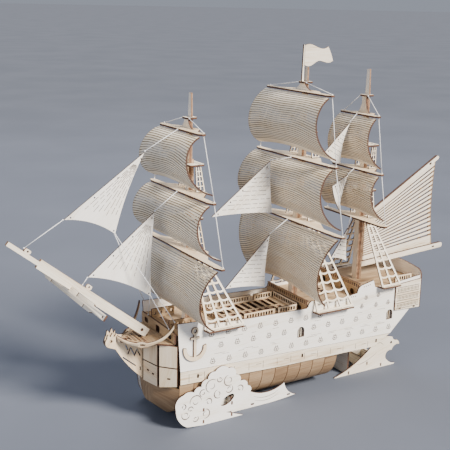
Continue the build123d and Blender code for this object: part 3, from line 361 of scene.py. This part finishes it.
def bar(a, b, width, height, turn=0.0):
    """A rectangle outline about (a, b), in metres from millimetres."""
    c, s = math.cos(turn), math.sin(turn)
    corners = ((-width / 2, -height / 2), (width / 2, -height / 2), (width / 2, height / 2), (-width / 2, height / 2))
    return [((a + x * c - y * s) * MM, (b + x * s + y * c) * MM) for x, y in corners]


def curl(a, b, radius, start, sweep, width=0.5, steps=12):
    """A thin arc-shaped outline, in metres from millimetres."""
    inner, outer = [], []
    for i in range(steps + 1):
        turn = start + sweep * i / steps
        thin = width * (0.35 + 0.65 * math.sin(math.pi * i / steps)) / 2
        inner.append(((a + (radius - thin) * math.cos(turn)) * MM, (b + (radius - thin) * math.sin(turn)) * MM))
        outer.append(((a + (radius + thin) * math.cos(turn)) * MM, (b + (radius + thin) * math.sin(turn)) * MM))
    return outer + inner[::-1] if sweep > 0 else inner + outer[::-1]


def upright(side, y):
    """The plane of an upright fore-and-aft face at y, with its outlines as (X, Z)."""
    return Matrix(((1, 0, 0, 0), (0, 0, -1, y * MM), (0, 1, 0, 0), (0, 0, 0, 1)))


def engrave(piece, groups, deep=0.3):
    """Cut shallow burnt marks into a piece. Groups are (place, outlines)."""
    work = bmesh.new()
    for place, outlines in groups:
        for outline in outlines:
            prism(work, outline, place, deep * MM)
    bmesh.ops.recalc_face_normals(work, faces=work.faces)
    mesh = bpy.data.meshes.new("marks")
    work.to_mesh(mesh)
    work.free()
    tool = bpy.data.objects.new("marks", mesh)
    bpy.context.scene.collection.objects.link(tool)
    for name in ("bare_basswood", "laser_cut_edge", "engraved_wood"):
        mesh.materials.append(finish_of(name))
    only(piece)
    before = sum(p.area for p in piece.data.polygons)
    mod = piece.modifiers.new("Marks", "BOOLEAN")
    mod.object = tool
    mod.operation = "DIFFERENCE"
    mod.solver = "EXACT"
    mod.use_self = True
    mod.material_mode = "INDEX"
    bpy.ops.object.modifier_apply(modifier=mod.name)
    bpy.data.objects.remove(tool)
    if sum(p.area for p in piece.data.polygons) < 0.9 * before:
        raise RuntimeError("the engraving cut away " + piece.name)


def gun_port(x, z, size=4.6):
    """A closed gun port: a square lid line, two hinges and a ring bolt."""
    w, half = 0.8, size / 2
    marks = [bar(x, z + half, size, w), bar(x, z - half, size, w)]
    marks += [bar(x + s * half, z, w, size - w - 0.06) for s in (-1, 1)]
    marks += [bar(x + s * size * 0.27, z + half + 1.2, 0.8, 1.3) for s in (-1, 1)]
    marks += [bar(x + s * (half + 1.2), z - half * 0.3, 0.8, 0.7) for s in (-1, 1)]
    marks += [bar(x, z - 0.1, 1.7, 1.7, 0.785)]
    return marks


def hull_marks():
    """Gun ports in three falling rows, a few smaller ones aft, and short plank lines on the side panels."""
    marks = []
    for i in range(13):
        marks += gun_port(-81 + 20.8 * i, 70.3 - 0.47 * i)
    for i in range(11):
        x = -71 + 20.8 * i
        if abs(x - 35.7) > 9 and abs(x - 168.5) > 9:
            marks += gun_port(x, 87.6 - 0.42 * i)
    for i in range(8):
        marks += gun_port(-83 + 20.8 * i, 101.8 - 0.55 * i)
    for x, z in ((124, 98.5), (146, 97), (165, 97), (130, 108.5), (149, 109)):
        marks += gun_port(x, z, 3.6)
    rng = random.Random(5)
    for row, z in enumerate((78.6, 95.2, 64.4 + 12)):
        x = -112.0 + 7 * row
        while x < 150:
            length = rng.uniform(6, 16)
            if not any(abs(x + length / 2 - w) < length / 2 + 6 for w in (35.7, 168.5, -104)):
                marks.append(bar(x + length / 2, z - 0.022 * (x + 80) + 0.3 * row, length, 0.34, -0.022))
            x += length + rng.uniform(9, 24)
    return marks


# ---------------------------------------------------------------- slit sheets
def slit_sheet(name, surface, rows, columns, slits, thick, face, scorch):
    """A sheet that bends because rows of slits are cut through it.

    surface(u, v) gives a point, rows and columns are the rising shares of the sheet's lines,
    and slits(column, row) says whether a cell is cut away.
    """
    bpy.ops.object.select_all(action="DESELECT")
    bpy.ops.mesh.primitive_grid_add(x_subdivisions=len(columns) - 1, y_subdivisions=len(rows) - 1, size=2)
    piece = bpy.context.object
    piece.name = name
    work = bmesh.new()
    work.from_mesh(piece.data)
    wide, tall = len(columns) - 1, len(rows) - 1
    spots = {v: (round((v.co.x + 1) / 2 * wide), round((1 - v.co.y) / 2 * tall)) for v in work.verts}
    gone = []
    for f in work.faces:
        cells = [spots[v] for v in f.verts]
        if slits(min(c[0] for c in cells), min(c[1] for c in cells)):
            gone.append(f)
    bmesh.ops.delete(work, geom=gone, context="FACES")
    grain = work.loops.layers.uv.new("Grain")
    plate = work.loops.layers.uv.new("Plate")
    for f in work.faces:
        for loop in f.loops:
            column, row = spots[loop.vert]
            loop[grain].uv = (columns[column] * 0.19 + 1.7, rows[row] * 0.09 + 0.3)
            rim = 0.7 if column in (0, wide) else 0.0
            loop[plate].uv = (max(scorch[row], rim) - 0.06, 0.2)
    for v, (column, row) in list(spots.items()):
        if v.is_valid:
            v.co = surface(columns[column], rows[row]) * MM
    work.to_mesh(piece.data)
    work.free()
    dress(piece, face)
    only(piece)
    mod = piece.modifiers.new("Thickness", "SOLIDIFY")
    mod.thickness = thick * MM
    mod.offset = 0
    mod.material_offset_rim = 1
    bpy.ops.object.modifier_apply(modifier=mod.name)
    bpy.ops.object.shade_smooth_by_angle(angle=math.radians(35))
    return piece


def arc_through(a, b, c, t):
    """The point at share t of the arc from a through b to c, all (x, z)."""
    ax, az, bx, bz, cx, cz = *a, *b, *c
    d = 2 * (ax * (bz - cz) + bx * (cz - az) + cx * (az - bz))
    ux = ((ax**2 + az**2) * (bz - cz) + (bx**2 + bz**2) * (cz - az) + (cx**2 + cz**2) * (az - bz)) / d
    uz = ((ax**2 + az**2) * (cx - bx) + (bx**2 + bz**2) * (ax - cx) + (cx**2 + cz**2) * (bx - ax)) / d
    radius = math.hypot(ax - ux, az - uz)
    start, end = math.atan2(az - uz, ax - ux), math.atan2(cz - uz, cx - ux)
    if start < 0:
        start += 2 * math.pi
    if end < 0:
        end += 2 * math.pi
    turn = start + (end - start) * t
    return ux + radius * math.cos(turn), uz + radius * math.sin(turn)


# how much the laser browns the wood right beside a slit
SCORCH = 0.95
# how far that browning reaches, in mm
SMOKE = 0.34
MAST_X = {"fore": (-89.5, 0.4), "main": (55.5, 1.5), "mizzen": (149.0, 0.0)}
# half width at head and foot, head and foot height, rise of the foot's arch, belly, foot aft of head
SAILS = {
    "fore_course_sail": ("fore", 86, 64, 186.5, 114, 13, 18, 10),
    "fore_topsail": ("fore", 67, 86, 249.5, 197.5, 9, 19, 3),
    "fore_topgallant_sail": ("fore", 44, 67, 315.5, 260.5, 11, 21, 3),
    "main_course_sail": ("main", 93, 70, 203, 120.5, 16, 17, 5),
    "main_topsail": ("main", 75, 93, 275.5, 213.5, 10, 20, 0.8),
    "main_topgallant_sail": ("main", 60, 75, 350, 286, 9, 20, 2),
    "mizzen_topsail": ("mizzen", 44, 54, 254.5, 205, 6, 13, 2),
    "mizzen_topgallant_sail": ("mizzen", 33, 44, 320, 264, 6, 14, 2),
}


def slit_lines(length, pitch, slit, margin):
    """Rising shares of the slit rows' edges along a length, each strip's slit number (0 for wood),
    and how scorched the wood is at each line."""
    lines, number, scorch, at = [0.0], [], [0.2], margin
    lines += [(at - SMOKE) / length, at / length]
    scorch += [0.0, SCORCH]
    number += [0, 0]
    count = 0
    while at + pitch < length - margin:
        count += 1
        lines += [(at + slit) / length, (at + slit + SMOKE) / length, (at + pitch - SMOKE) / length,
                  (at + pitch) / length]
        scorch += [SCORCH, 0.0, 0.0, SCORCH]
        number += [count, 0, 0, 0]
        at += pitch
    scorch[-1] = 0.0
    lines.append(1.0)
    scorch.append(0.2)
    number.append(0)
    return lines, number, scorch


def slit_columns(width, period, bridge, margin):
    """Rising shares of the ends of staggered slits across a width, with the phase of each cell."""
    count = max(2, round((width - 2 * margin) / period))
    step = (width - 2 * margin) / count
    lines, phase = [0.0, margin / 2 / width, margin / width], ["edge", "edge"]
    for i in range(count):
        start = margin + i * step
        half = step / 2
        lines += [(start + bridge) / width, (start + bridge + (half - bridge) / 2) / width, (start + half) / width,
                  (start + half + bridge) / width, (start + half + bridge + (half - bridge) / 2) / width,
                  (start + step) / width]
        phase += ["even_bridge", "open", "open", "odd_bridge", "open", "open"]
    lines += [1 - margin / 2 / width, 1.0]
    phase += ["edge", "edge"]
    return lines, phase


def square_sail(name, spec, s):
    """One bellied sail, hung under its yard, with its slit rows sagging with the cloth."""
    mast, head_half, foot_half, head_z, foot_z, arch, belly, aft = spec
    station, rake = MAST_X[mast]
    x0 = station + math.tan(math.radians(rake)) * (head_z - 230) - 13.5 + 1.2
    x1 = x0 + aft
    top, middle, low = (x0, head_z), ((x0 + x1) / 2 - belly, head_z + (foot_z - head_z) * 0.52), (x1, foot_z)
    rise = (arch + 1) / (head_z - foot_z)

    def surface(u, v):
        side = 2 * u - 1
        bow = 1 - side * side
        t = v * (1 - rise * bow) + 0.05 * bow * math.sin(math.pi * v) * (1 - v)
        t += 0.011 * math.sin(side * 5.2 + 0.7) * math.sin(math.pi * v)
        x, z = arc_through(top, middle, low, t)
        half = head_half + (foot_half - head_half) * t - 6 * t * (1 - t)
        return Vector((x, side * half, z))

    length = (head_z - foot_z) * 1.18
    rows, number, scorch = slit_lines(length, s.slit_pitch / MM, s.slit_width / MM, 3.4)
    width = head_half + foot_half
    columns, phase = slit_columns(width, s.slit_length / MM, 1.5, 2.2)

    def slits(column, row):
        if not number[row] or phase[column] == "edge":
            return False
        return phase[column] != ("even_bridge" if number[row] % 2 else "odd_bridge")

    piece = slit_sheet(name + "_ply", surface, rows, columns, slits, s.sail_thickness / MM, "sail_plywood", scorch)
    hand_over(piece, name)
    return piece


# ---------------------------------------------------------------- settings
class GalleonSettings(bpy.types.PropertyGroup):
    """Sizes and colours that change the look of the whole model."""

    wood_light: bpy.props.StringProperty(name="Light fibres", description="Palest colour of the plates", default="#F8F0E2")
    wood_mid: bpy.props.StringProperty(name="Plate colour", description="Main colour of the plates", default="#ECDFC9")
    wood_dark: bpy.props.StringProperty(name="Dark fibres", description="Darkest colour of the plates", default="#C5AA87")
    sail_light: bpy.props.StringProperty(name="Light sail", description="Palest colour of the sails", default="#FFF4DF")
    sail_mid: bpy.props.StringProperty(name="Sail colour", description="Main colour of the sails", default="#F8E7CA")
    sail_dark: bpy.props.StringProperty(name="Dark sail", description="Darkest colour of the sails", default="#DCC197")
    edge_dark: bpy.props.StringProperty(name="Burnt ply", description="Outer plies at a cut edge", default="#4E3022")
    edge_core: bpy.props.StringProperty(name="Middle ply", description="Middle ply at a cut edge", default="#74503A")
    slit_pitch: bpy.props.FloatProperty(name="Slit pitch", description="Distance between rows of slits", default=0.00265,
                                        min=0.001, unit="LENGTH", precision=4)
    slit_width: bpy.props.FloatProperty(name="Slit width", description="Width of a slit", default=0.0005,
                                        min=0.0001, unit="LENGTH", precision=4)
    slit_length: bpy.props.FloatProperty(name="Slit length", description="Length of a slit and its bridge",
                                         default=0.046, min=0.005, unit="LENGTH", precision=4)
    sail_thickness: bpy.props.FloatProperty(name="Sail thickness", description="Thickness of the flexible plywood",
                                            default=0.0016, min=0.0005, unit="LENGTH", precision=4)
    key_power: bpy.props.FloatProperty(name="Key light", description="Strength of the main soft light, W per square metre",
                                       default=8.5, min=0.0)


# ---------------------------------------------------------------- operators
class GALLEON_OT_stage(bpy.types.Operator):
    """Lay the pale floor, hang the soft lights and set the camera"""

    bl_idname = "galleon.stage"
    bl_label = "Stage"

    def execute(self, context):
        s = context.scene.galleon
        bpy.ops.object.select_all(action="DESELECT")
        # so wide that its far edge meets the room's colour at the horizon
        bpy.ops.mesh.primitive_circle_add(vertices=96, radius=60, fill_type="NGON", location=(0, 0, -0.0002))
        floor = context.object
        floor.name = "floor"
        material, tree, shader = new_material("matt_painted_board")
        place = add(tree, "ShaderNodeTexCoord").outputs["Object"]
        noise = add(tree, "ShaderNodeTexNoise", {"Vector": place, "Scale": 3.0, "Detail": 3.0}).outputs[0]
        ramp = add(tree, "ShaderNodeValToRGB", {"Fac": noise})
        colour = stops(ramp, (0.35, "#5D6370"), (0.65, "#636976"))
        tree.links.new(colour, shader.inputs["Base Color"])
        shader.inputs["Roughness"].default_value = 0.9
        floor.data.materials.append(material)
        world = bpy.data.worlds.new("soft_room")
        world.use_nodes = True
        world.node_tree.nodes["Background"].inputs[0].default_value = linear("#B4BBC9")
        world.node_tree.nodes["Background"].inputs[1].default_value = 0.66
        context.scene.world = world
        for name, kind, place, size, power, code in (
            ("key_window", "SUN", (0.75, -1.75, 1.45), math.radians(16), s.key_power, "#FFF7EC"),
            ("bow_fill", "AREA", (-1.9, -0.9, 0.9), 1.2, s.key_power * 1.6, "#EEF3FF"),
            ("back_top", "AREA", (0.4, 1.3, 1.9), 1.2, s.key_power * 2, "#F4F6FF"),
        ):
            light = bpy.data.lights.new(name, kind)
            if kind == "SUN":
                light.angle = size
            else:
                light.shape, light.size = "DISK", size
            light.energy = power
            light.color = linear(code)[:3]
            lamp = bpy.data.objects.new(name, light)
            context.scene.collection.objects.link(lamp)
            lamp.location = place
            lamp.rotation_euler = Vector(place).to_track_quat("Z", "Y").to_euler()
        # the view: 31 degrees off the beam, 14.5 degrees above the table, rolled by 1.2 degrees
        eye = Vector((-0.5251, -0.7961, 0.44865))
        right, up, back = Vector((0.8553, -0.5181, 0)), Vector((0.1295, 0.2138, 0.9683)), Vector((-0.5016, -0.8282, 0.2499))
        roll = math.radians(1.155)
        across = right * math.cos(roll) + up * math.sin(roll)
        over = up * math.cos(roll) - right * math.sin(roll)
        turn = Matrix((across, over, back)).transposed()
        lens = bpy.data.cameras.new("camera")
        lens.sensor_width = 36
        lens.lens = 69.556
        lens.clip_start = 0.01
        camera = bpy.data.objects.new("camera", lens)
        camera.matrix_world = Matrix.Translation(eye) @ turn.to_4x4()
        context.scene.collection.objects.link(camera)
        context.scene.camera = camera
        return {"FINISHED"}


class GALLEON_OT_stand(bpy.types.Operator):
    """Cut the cloud, wave and cross plates of the stand, with their engraved curls"""

    bl_idname = "galleon.stand"
    bl_label = "Stand"

    def execute(self, context):
        spots = ((-104, 30, 7), (-84, 44, 7.5), (-62, 46, 6.5), (-116, 17, 5), (-62, 36, 4.5), (-92, 13, 5.5), (-48, 33, 4),
                 (-110, 22, 3.2), (-95, 38, 4), (-76, 33, 5), (-74, 50, 3.4), (-104, 10, 3.4), (-119, 27, 3), (-88, 26, 4))
        curls = []
        for i, (x, z, radius) in enumerate(spots):
            turn = 0.9 * i
            curls += [curl(x, z, radius, turn, 3.4, 1.2), curl(x, z, radius * 0.45, turn + 3.1, 3.0, 0.9)]
        for side, name in ((PORT, "port"), (STARBOARD, "starboard")):
            cloud = cut_plate(f"stand_cloud_plate_{name}", "pale_basswood")
            engrave(cloud, [(upright(side, side * 47.5), curls)])
            wave = cut_plate(f"stand_wave_plate_{name}", "pale_basswood")
            engrave(wave, [(upright(side, side * 37.0), [curl(-6, 42, 33, -2.1, 1.1, 0.6), curl(-6, 42, 37, -2.0, 0.9, 0.5)])])
            stern = cut_plate(f"stand_stern_wave_{name}")
            engrave(stern, [(upright(side, side * 20.0), [curl(141, 63, 52, -1.6, 0.7, 0.5), curl(176, 26, 8, 0.4, 2.2, 0.6)])])
        cut_plate("stand_cross_cradles")
        return {"FINISHED"}


class GALLEON_OT_hull(bpy.types.Operator):
    """Cut the sides, bow, bottom and stern of the hull, and engrave the gun ports"""

    bl_idname = "galleon.hull"
    bl_label = "Hull"

    def execute(self, context):
        marks = hull_marks()
        for side, name in ((PORT, "port"), (STARBOARD, "starboard")):
            panel = cut_plate(f"side_panel_{name}", face="pale_basswood")
            engrave(panel, [(upright(side, side * 43.0), marks)])
        strakes = cut_plate("lower_strakes")
        butts = [bar(x, 56.3 - 0.033 * (x + 100), 0.5, 9.5 - 0.012 * (x + 100)) for x in range(-110, 140, 19)]
        dashes = [bar(x + 9, 57.2 - 0.034 * (x + 100), 7, 0.5, -0.03) for x in range(-106, 140, 38)]
        engrave(strakes, [(upright(s, s * 43.0), butts + dashes) for s in (PORT, STARBOARD)])
        galleries = cut_plate("quarter_galleries")
        bands = []
        for z in (90.5, 100.5, 110.5):
            bands += [bar(195, z + 3.4, 36, 0.7), bar(195, z - 3.4, 36, 0.7)]
            bands += [bar(179.0 + 2.3 * i, z, 0.9, 4.2) for i in range(15)]
        engrave(galleries, [(upright(s, s * 45.0), bands) for s in (PORT, STARBOARD)])
        # the parts under and inside the hull get the dark tan, which is partly painted shade
        for node in ("hull_bottom_slats", "bow_bottom_cheeks"):
            cut_plate(node, face="tan_basswood", bent=True, arris=0.3)
        for node in ("keel_plate", "hull_bulkheads", "stern_underside"):
            cut_plate(node, face="tan_basswood")
        # the bow-facing parts get the tanner finish as painted shade
        for node in ("bow_panels", "stem_knee", "figurehead", "head_rails", "anchors"):
            cut_plate(node, face="warm_basswood")
        for node in ("transom", "shroud_channels", "window_bars"):
            cut_plate(node)
        return {"FINISHED"}


class GALLEON_OT_decks(bpy.types.Operator):
    """Cut the decks, deck bulkheads, rails and gratings"""

    bl_idname = "galleon.decks"
    bl_label = "Decks"

    def execute(self, context):
        # the decks and deck bulkheads get the darker brown, which is partly painted shade
        for node in ("beak_grating", "forecastle_deck", "waist_deck", "quarter_deck", "poop_deck", "deck_bulkheads",
                     "deck_rails"):
            cut_plate(node, face="warm_basswood" if node == "deck_rails" else "deck_basswood")
        return {"FINISHED"}


class GALLEON_OT_spars(bpy.types.Operator):
    """Cut the masts, yards, tops and other spars"""

    bl_idname = "galleon.spars"
    bl_label = "Spars"

    def execute(self, context):
        for node in ("bowsprit", "fore_mast", "main_mast", "mizzen_mast"):
            cut_plate(node, edge="stacked_ply")
        for node in ("fore_yards", "main_yards", "mizzen_yards"):
            cut_plate(node, face="warm_basswood")
        for node in ("spritsail_yard", "masthead_brackets", "mast_collars", "mast_tops", "topmast_shrouds",
                     "spanker_gaff", "spanker_boom", "flag_and_staff"):
            cut_plate(node)
        return {"FINISHED"}


class GALLEON_OT_square_sails(bpy.types.Operator):
    """Bend the eight square sails and cut their rows of slits"""

    bl_idname = "galleon.square_sails"
    bl_label = "Square Sails"

    def execute(self, context):
        for name, spec in SAILS.items():
            square_sail(name, spec, context.scene.galleon)
        return {"FINISHED"}


class GALLEON_OT_fore_and_aft_sails(bpy.types.Operator):
    """Cut the jibs, staysails and the fan-slit spanker"""

    bl_idname = "galleon.fore_and_aft_sails"
    bl_label = "Jibs, Staysails and Spanker"

    def execute(self, context):
        seams = {
            "jibs": (((-141.5, 296.4), (-229.5, 235.4), (-175, 214.5)), ((-130, 232.4), (-205.5, 172.3), (-134.5, 140))),
            "staysails": (((14.5, 276), (-60, 219.6), (19, 216)), ((17, 190), (-41, 134), (12, 128.6)),
                          ((125.5, 313), (89.6, 279.6), (114, 265.6)), ((127, 251), (104, 238.6), (116, 208.6)),
                          ((131, 184.5), (108, 150.6), (131, 143.5))),
        }
        for node, sails in seams.items():
            piece = cut_plate(node, "pale_basswood")
            marks = []
            rng = random.Random(node)
            for head, tack, clew in sails:
                head, tack, clew = (Vector(p) for p in (head, tack, clew))
                middle = (head + tack + clew) / 3
                count = 9 if node == "jibs" else max(5, round((head - clew).length / 5.5))
                for i in range(1, count):
                    share = i / count
                    if node == "jibs":
                        start, end = head.lerp(tack.lerp(clew, share), 0.1), head.lerp(tack.lerp(clew, share), 0.84)
                    else:
                        start, end = tack.lerp(head, share), clew.lerp(head, share)
                    start, end = start.lerp(middle, 0.1), end.lerp(middle, 0.1)
                    run = (end - start).length
                    if run < 6:
                        continue
                    turn = math.atan2(end.y - start.y, end.x - start.x)
                    at = rng.uniform(0, 3)
                    while at + 4 < run:
                        dash = min(rng.uniform(5, 12), run - at)
                        spot = start.lerp(end, (at + dash / 2) / run)
                        marks.append(bar(spot.x, spot.y, dash, 0.5, turn))
                        at += dash + rng.uniform(1.6, 3)
            engrave(piece, [(upright(s, s * 0.8), marks) for s in (PORT, STARBOARD)], 0.22)

        def surface(u, v):
            low = Vector((156 + (271.3 - 156) * u, 0, 140.4 + 7.0 * u))
            high = Vector((156 + (267.3 - 156) * u, 0, 191 + 65.3 * u))
            point = high.lerp(low, v)
            point.x -= 3.6 * u * math.sin(math.pi * v)
            return point

        rows, number, scorch = slit_lines(78, 4.3, 1.5, 3.4)
        columns, phase = slit_columns(113, 34, 3.0, 5.0)

        def slits(column, row):
            if not number[row] or phase[column] == "edge" or columns[column] < 0.1:
                return False
            return phase[column] != ("even_bridge" if number[row] % 2 else "odd_bridge")

        spanker = slit_sheet("spanker_ply", surface, rows, columns, slits, 1.4, "bare_basswood", scorch)
        hand_over(spanker, "spanker_sail")
        return {"FINISHED"}


class GALLEON_OT_nets(bpy.types.Operator):
    """Cut the shroud nets, with their sagging ratlines"""

    bl_idname = "galleon.nets"
    bl_label = "Shroud Nets"

    def execute(self, context):
        work = bmesh.new()
        nets = (((-91, -47), (-89, -80), 109.5, 187.4, 4, 9), ((53, 104), (57, 70), 105.5, 203.9, 4, 10),
                ((149, 176), (150, 158), 121.1, 195.9, 3, 8))
        for foot, head, low_z, high_z, legs, rungs in nets:
            for side in (PORT, STARBOARD):
                low, high = Vector((0, side * 49.5, low_z)), Vector((0, side * 10.0, high_z))
                up = (high - low).normalized()
                length = (high - low).length
                out = Vector((1, 0, 0)).cross(up)
                place = Matrix.Translation(low * MM) @ Matrix((Vector((1, 0, 0)), up, out)).transposed().to_4x4()

                def leg_x(i, b):
                    start = foot[0] + (foot[1] - foot[0]) * i / (legs - 1)
                    end = head[0] + (head[1] - head[0]) * i / (legs - 1)
                    return start + (end - start) * b / length

                for i in range(legs):
                    wide = 1.2
                    x0, x1 = leg_x(i, 0), leg_x(i, length)
                    prism(work, [(x * MM, b * MM) for x, b in ((x0 - wide, 0), (x0 + wide, 0), (x1 + wide, length),
                                                              (x1 - wide, length))], place, 0.8 * MM)
                for j in range(rungs):
                    b = length * (j + 0.12) / rungs if j else 0.7
                    for i in range(legs - 1):
                        x0, x1 = leg_x(i, b) + 0.7, leg_x(i + 1, b) - 0.7
                        sag = 0.0 if j == 0 else min(2.2, (x1 - x0) * 0.15)
                        lower, upper = [], []
                        for k in range(7):
                            share = k / 6
                            x = x0 + (x1 - x0) * share
                            drop = sag * 4 * share * (1 - share)
                            fillet = 1.0 + 1.1 * max(0.0, abs(share - 0.5) * 2 - 0.6)
                            lower.append((x * MM, (b - drop - fillet) * MM))
                            upper.append((x * MM, (b - drop + fillet) * MM))
                        prism(work, lower + upper[::-1], place, 0.78 * MM)
        bmesh.ops.recalc_face_normals(work, faces=work.faces)
        mesh = bpy.data.meshes.new("shroud_nets_ply")
        work.to_mesh(mesh)
        work.free()
        piece = bpy.data.objects.new("shroud_nets_ply", mesh)
        context.scene.collection.objects.link(piece)
        lay_grain(piece, 11)
        dress(piece)
        hand_over(piece, "shroud_nets")
        return {"FINISHED"}


class GALLEON_OT_rigging(bpy.types.Operator):
    """Tie the taut threads between the spars, with a knot at each end"""

    bl_idname = "galleon.rigging"
    bl_label = "Rigging Threads"

    def execute(self, context):
        yards = {"fore": ((189, 90), (252, 70), (318, 46)), "main": ((205.5, 97), (278, 77), (352.5, 62)),
                 "mizzen": ((197.5, 58), (257, 46), (322.5, 34.5))}
        collars = {"fore": 329.5, "main": 362.0, "mizzen": 344.0}

        def mast_x(name, z):
            return MAST_X[name][0] + math.tan(math.radians(MAST_X[name][1])) * (z - 230)

        def end(name, index, side, over):
            z, half = yards[name][index]
            return (mast_x(name, z) - 7.1, side * (half - 3), z + over * 1.5)

        def middle(name, index):
            z = yards[name][index][0]
            return (mast_x(name, z) - 14.1, 0, z)

        lines = []
        for name, z in collars.items():
            for side in (PORT, STARBOARD):
                lines.append(((mast_x(name, z) - 4, side * 6.9, z), end(name, 2, side, 1)))
                for index in (2, 1):
                    lines.append((end(name, index, side, -1), end(name, index - 1, side, 1)))
        lines += [((-271, 0, 211.6), (-230.5, 0, 235.2)), ((-140.5, 0, 297.9), middle("fore", 2)),
                  ((-211.5, 0, 164.8), (-206, 0, 171.8)), ((-129.3, 0, 233.7), middle("fore", 1)),
                  ((15.3, 0, 276.8), middle("main", 1)), ((17.8, 0, 191.3), middle("main", 0)),
                  ((126, 0, 314.3), middle("mizzen", 2)), ((127.6, 0, 251.8), middle("mizzen", 1)),
                  ((131.6, 0, 185.5), middle("mizzen", 0))]
        for side in (PORT, STARBOARD):
            lines += [((-175, side * 1.4, 214), (-124, side * 36, 120.6)), ((-134.4, side * 1.4, 139.8), (-125, side * 25, 109.2))]
        work = bmesh.new()
        grain = work.loops.layers.uv.new("Grain")
        for a, b in lines:
            a, b = Vector(a) * MM, Vector(b) * MM
            run = (b - a).length
            place = Matrix.Translation(a.lerp(b, 0.5)) @ (b - a).to_track_quat("Z", "Y").to_matrix().to_4x4()
            tube = bmesh.ops.create_cone(work, cap_ends=True, segments=10, radius1=0.4 * MM, radius2=0.4 * MM, depth=run,
                                         matrix=place)
            back = place.inverted()
            for face in {f for v in tube["verts"] for f in v.link_faces}:
                face.smooth = len(face.verts) == 4
                for loop in face.loops:
                    spot = back @ loop.vert.co
                    loop[grain].uv = (math.atan2(spot.y, spot.x) * 0.0004, spot.z)
            for spot, turn in ((a, 0.5), (b, 1.1)):
                knot = bmesh.ops.create_icosphere(work, subdivisions=2, radius=0.85 * MM, matrix=Matrix.Translation(spot))
                for v in knot["verts"]:
                    off = v.co - spot
                    v.co = spot + off * (1 + 0.16 * math.sin(off.x * 5200 + turn) * math.cos(off.z * 4700))
                for face in {f for v in knot["verts"] for f in v.link_faces}:
                    face.smooth = True
                    for loop in face.loops:
                        loop[grain].uv = (loop.vert.co.x, loop.vert.co.z)
        mesh = bpy.data.meshes.new("rigging_thread_lines")
        work.to_mesh(mesh)
        work.free()
        piece = bpy.data.objects.new("rigging_thread_lines", mesh)
        context.scene.collection.objects.link(piece)
        mesh.materials.append(finish_of("waxed_cotton_thread"))
        hand_over(piece, "rigging_threads")
        return {"FINISHED"}


class GALLEON_PT_panel(bpy.types.Panel):
    """The steps of the galleon, in order"""

    bl_idname = "GALLEON_PT_panel"
    bl_label = "Galleon"
    bl_space_type = "VIEW_3D"
    bl_region_type = "UI"
    bl_category = "Galleon"

    def draw(self, context):
        for step in STEPS:
            self.layout.operator(step.bl_idname)
        for prop in GalleonSettings.__annotations__:
            self.layout.prop(context.scene.galleon, prop)


STEPS = (GALLEON_OT_stage, GALLEON_OT_stand, GALLEON_OT_hull, GALLEON_OT_decks, GALLEON_OT_spars,
         GALLEON_OT_square_sails, GALLEON_OT_fore_and_aft_sails, GALLEON_OT_nets, GALLEON_OT_rigging)
CLASSES = (GalleonSettings, *STEPS, GALLEON_PT_panel)


def register():
    for cls in CLASSES:
        bpy.utils.register_class(cls)
    bpy.types.Scene.galleon = bpy.props.PointerProperty(type=GalleonSettings)


def unregister():
    del bpy.types.Scene.galleon
    for cls in reversed(CLASSES):
        bpy.utils.unregister_class(cls)


def main():
    register()
    bpy.ops.galleon.stage()
    bpy.ops.galleon.stand()
    bpy.ops.galleon.hull()
    bpy.ops.galleon.decks()
    bpy.ops.galleon.spars()
    bpy.ops.galleon.square_sails()
    bpy.ops.galleon.fore_and_aft_sails()
    bpy.ops.galleon.nets()
    bpy.ops.galleon.rigging()


if __name__ == "__main__":
    main()
